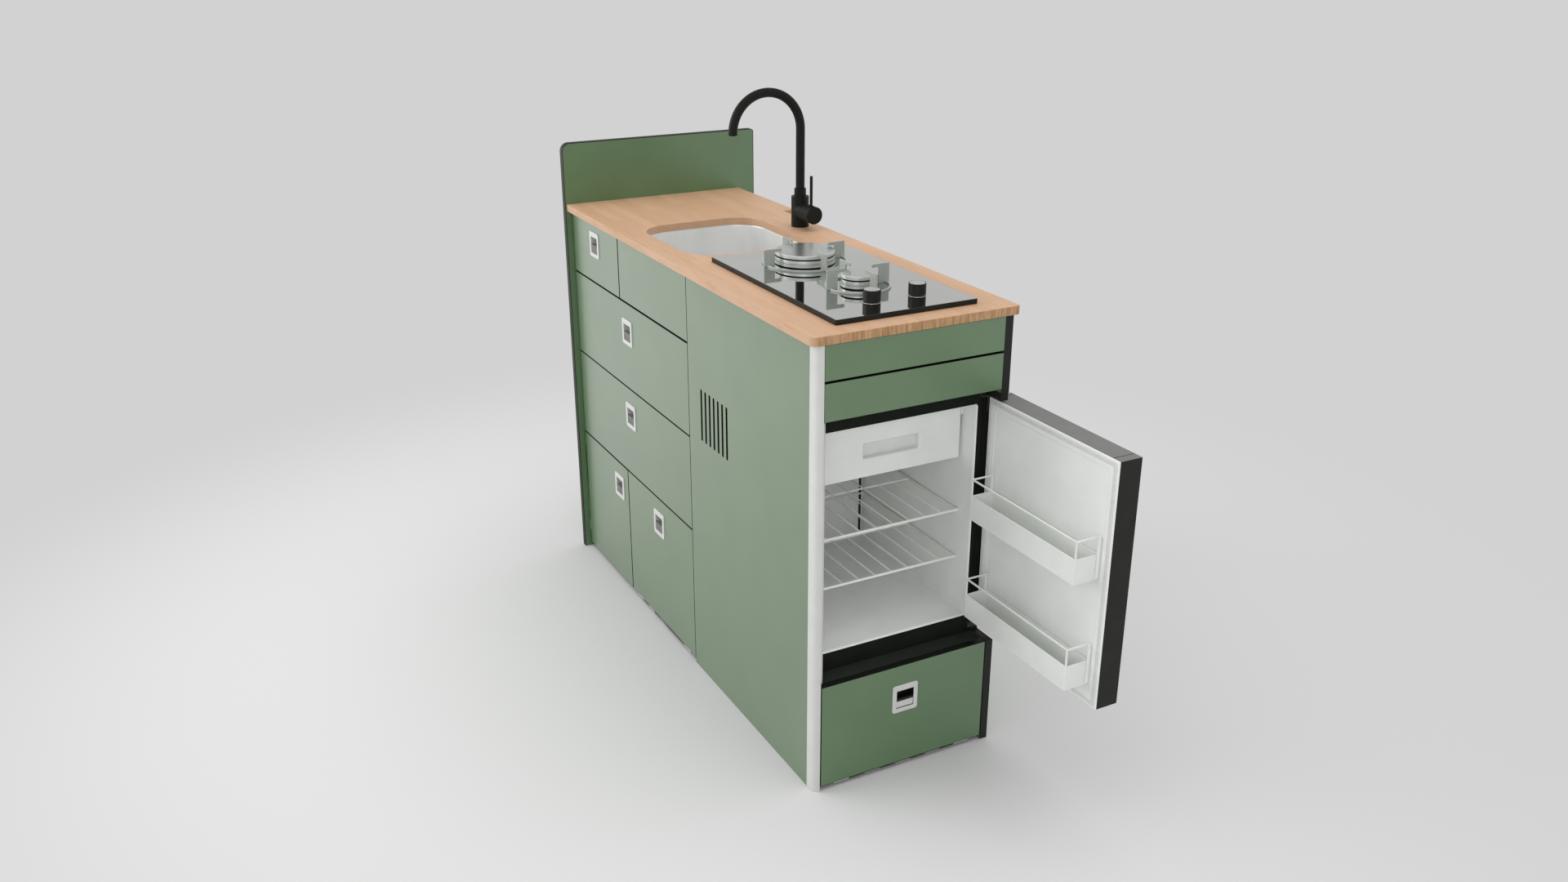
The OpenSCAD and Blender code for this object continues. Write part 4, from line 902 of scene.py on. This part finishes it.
frame_master = latch_frame("latch_frame_master")
paddle_master = latch_paddle("latch_paddle_master")
for letter, (across, top, below) in latches.items():
    z = top - below - latch_h / 2
    if letter == "f":
        place, turn = (end_x, across, z), (quarter, 0, quarter)
        # On the fridge end the cups' white walls take the black as painted shade.
        frame_mats, paddle_mats = (white_abs, cup_black_and_shade), (white_abs, cup_black_and_shade)
    else:
        place, turn = (across, front_y, z), (quarter, 0, 0)
        # On the drawer side the cups and paddles take painted grey shade.
        frame_mats, paddle_mats = (white_abs, shaded_cup_grey), (shaded_paddle_grey, shaded_paddle_grey)
    for master, node, body, mats in (
            (frame_master, "bezel_" + letter, body_of["bezel_" + letter], frame_mats),
            (paddle_master, "paddle_" + letter, "paddle_" + letter, paddle_mats)):
        obj = bpy.data.objects.new(node + "_moulded", master.data.copy())
        bpy.context.scene.collection.objects.link(obj)
        settle(obj, place, turn)
        fit(obj, body, "white_plastic", node, mats=mats)
for master in (frame_master, paddle_master):
    bpy.data.objects.remove(master)


# ---- stage, light and camera ----


def stage_floor():
    """Pale floor that keeps the shadow near the object and fades into the background around it.
    In reflections the far floor glows brighter than it looks: a painted reflection.
    """
    fade_from, fade_to, reflection_glow = 0.9, 2.2, 1.45
    bpy.ops.object.select_all(action="DESELECT")
    bpy.ops.mesh.primitive_plane_add(size=60, location=(0, 0, -0.5 * mm))
    floor = bpy.context.active_object
    floor.name = "floor"
    m = plain("pale_studio_floor", "#D6D6D6", 0.9, Specular_IOR_Level=0.0)
    tree = m.node_tree
    shader = tree.nodes["Principled BSDF"]
    out = tree.nodes["Material Output"]
    place = add(tree, "ShaderNodeTexCoord")
    away = add(tree, "ShaderNodeVectorMath", {"operation": "LENGTH"}, i0=(place, "Object"))
    far = add(tree, "ShaderNodeMapRange", {"interpolation_type": "SMOOTHSTEP"}, i0=(away, 1),
              i1=fade_from, i2=fade_to)
    ray = add(tree, "ShaderNodeLightPath")
    seen = add(tree, "ShaderNodeMath", {"operation": "MAXIMUM"}, i0=(ray, "Is Camera Ray"),
               i1=(ray, "Is Glossy Ray"))
    seen = add(tree, "ShaderNodeMath", {"operation": "MAXIMUM"}, i0=(seen, 0),
               i1=(ray, "Is Transmission Ray"))
    fade = add(tree, "ShaderNodeMath", {"operation": "MULTIPLY"}, i0=(far, 0), i1=(seen, 0))
    # Painted reflection: in reflections the far floor glows 1.45 times as bright.
    glow_in_reflections = add(tree, "ShaderNodeMapRange", i0=(ray, "Is Glossy Ray"), i3=1.0, i4=reflection_glow)
    glow = add(tree, "ShaderNodeEmission", Color=linear(backdrop), Strength=(glow_in_reflections, 0))
    both = add(tree, "ShaderNodeMixShader", i0=(fade, 0), i1=(shader, 0), i2=(glow, 0))
    tree.links.new(both.outputs[0], out.inputs[0])
    floor.data.materials.append(m)


def world_light():
    """Even pale room; rays that see it get the photo's background tone."""
    world = bpy.data.worlds.new("studio")
    world.use_nodes = True
    back = world.node_tree.nodes["Background"]
    back.inputs["Color"].default_value = linear(backdrop)
    back.inputs["Strength"].default_value = 1.0
    bpy.context.scene.world = world


def lamp(name, place, aim, size, power):
    """A soft rectangular lamp that looks at a point; places and sizes in metres, power in watts."""
    bpy.ops.object.select_all(action="DESELECT")
    bpy.ops.object.light_add(type="AREA", location=place)
    light = bpy.context.active_object
    light.name = name
    light.data.shape = "RECTANGLE"
    light.data.size, light.data.size_y = size
    light.data.energy = power
    light.rotation_euler = (Vector(aim) - Vector(place)).to_track_quat("-Z", "Y").to_euler()
    return light


def photo_camera():
    """The camera as solved from the photo: its place, where it looks and its focal length."""
    place, azimuth, down = (2.439, -1.228, 1.553), math.radians(62.17), math.radians(21.73)
    focal, picture_wide, sensor = 1635, 1920, 36
    bpy.ops.object.camera_add(location=place)
    cam = bpy.context.active_object
    forward = Vector((-math.sin(azimuth) * math.cos(down), math.cos(azimuth) * math.cos(down),
                      -math.sin(down)))
    cam.rotation_euler = forward.to_track_quat("-Z", "Y").to_euler()
    cam.data.sensor_fit = "HORIZONTAL"
    cam.data.sensor_width = sensor
    cam.data.lens = sensor * focal / picture_wide
    cam.data.clip_end = 100
    bpy.context.scene.camera = cam


stage_floor()
world_light()
lamp("soft_left", (-2.5, -4.5, 2.6), (0, 0, 0.4), (4, 3), 120)
# From above, the glass and the steel mirror the pale room, not this lamp.
lamp("soft_top", (0.5, 0.5, 5.0), (0, 0, 0.5), (5, 5), 110).visible_glossy = False
lamp("left_card", (-4.5, -2.6, 1.3), (-0.4, -0.2, 0.8), (4, 2.2), 26)
lamp("soft_right", (4.0, -2.5, 2.2), (0.4, 0, 0.5), (3, 2), 28)
photo_camera()
bpy.context.scene.view_settings.view_transform = "Standard"
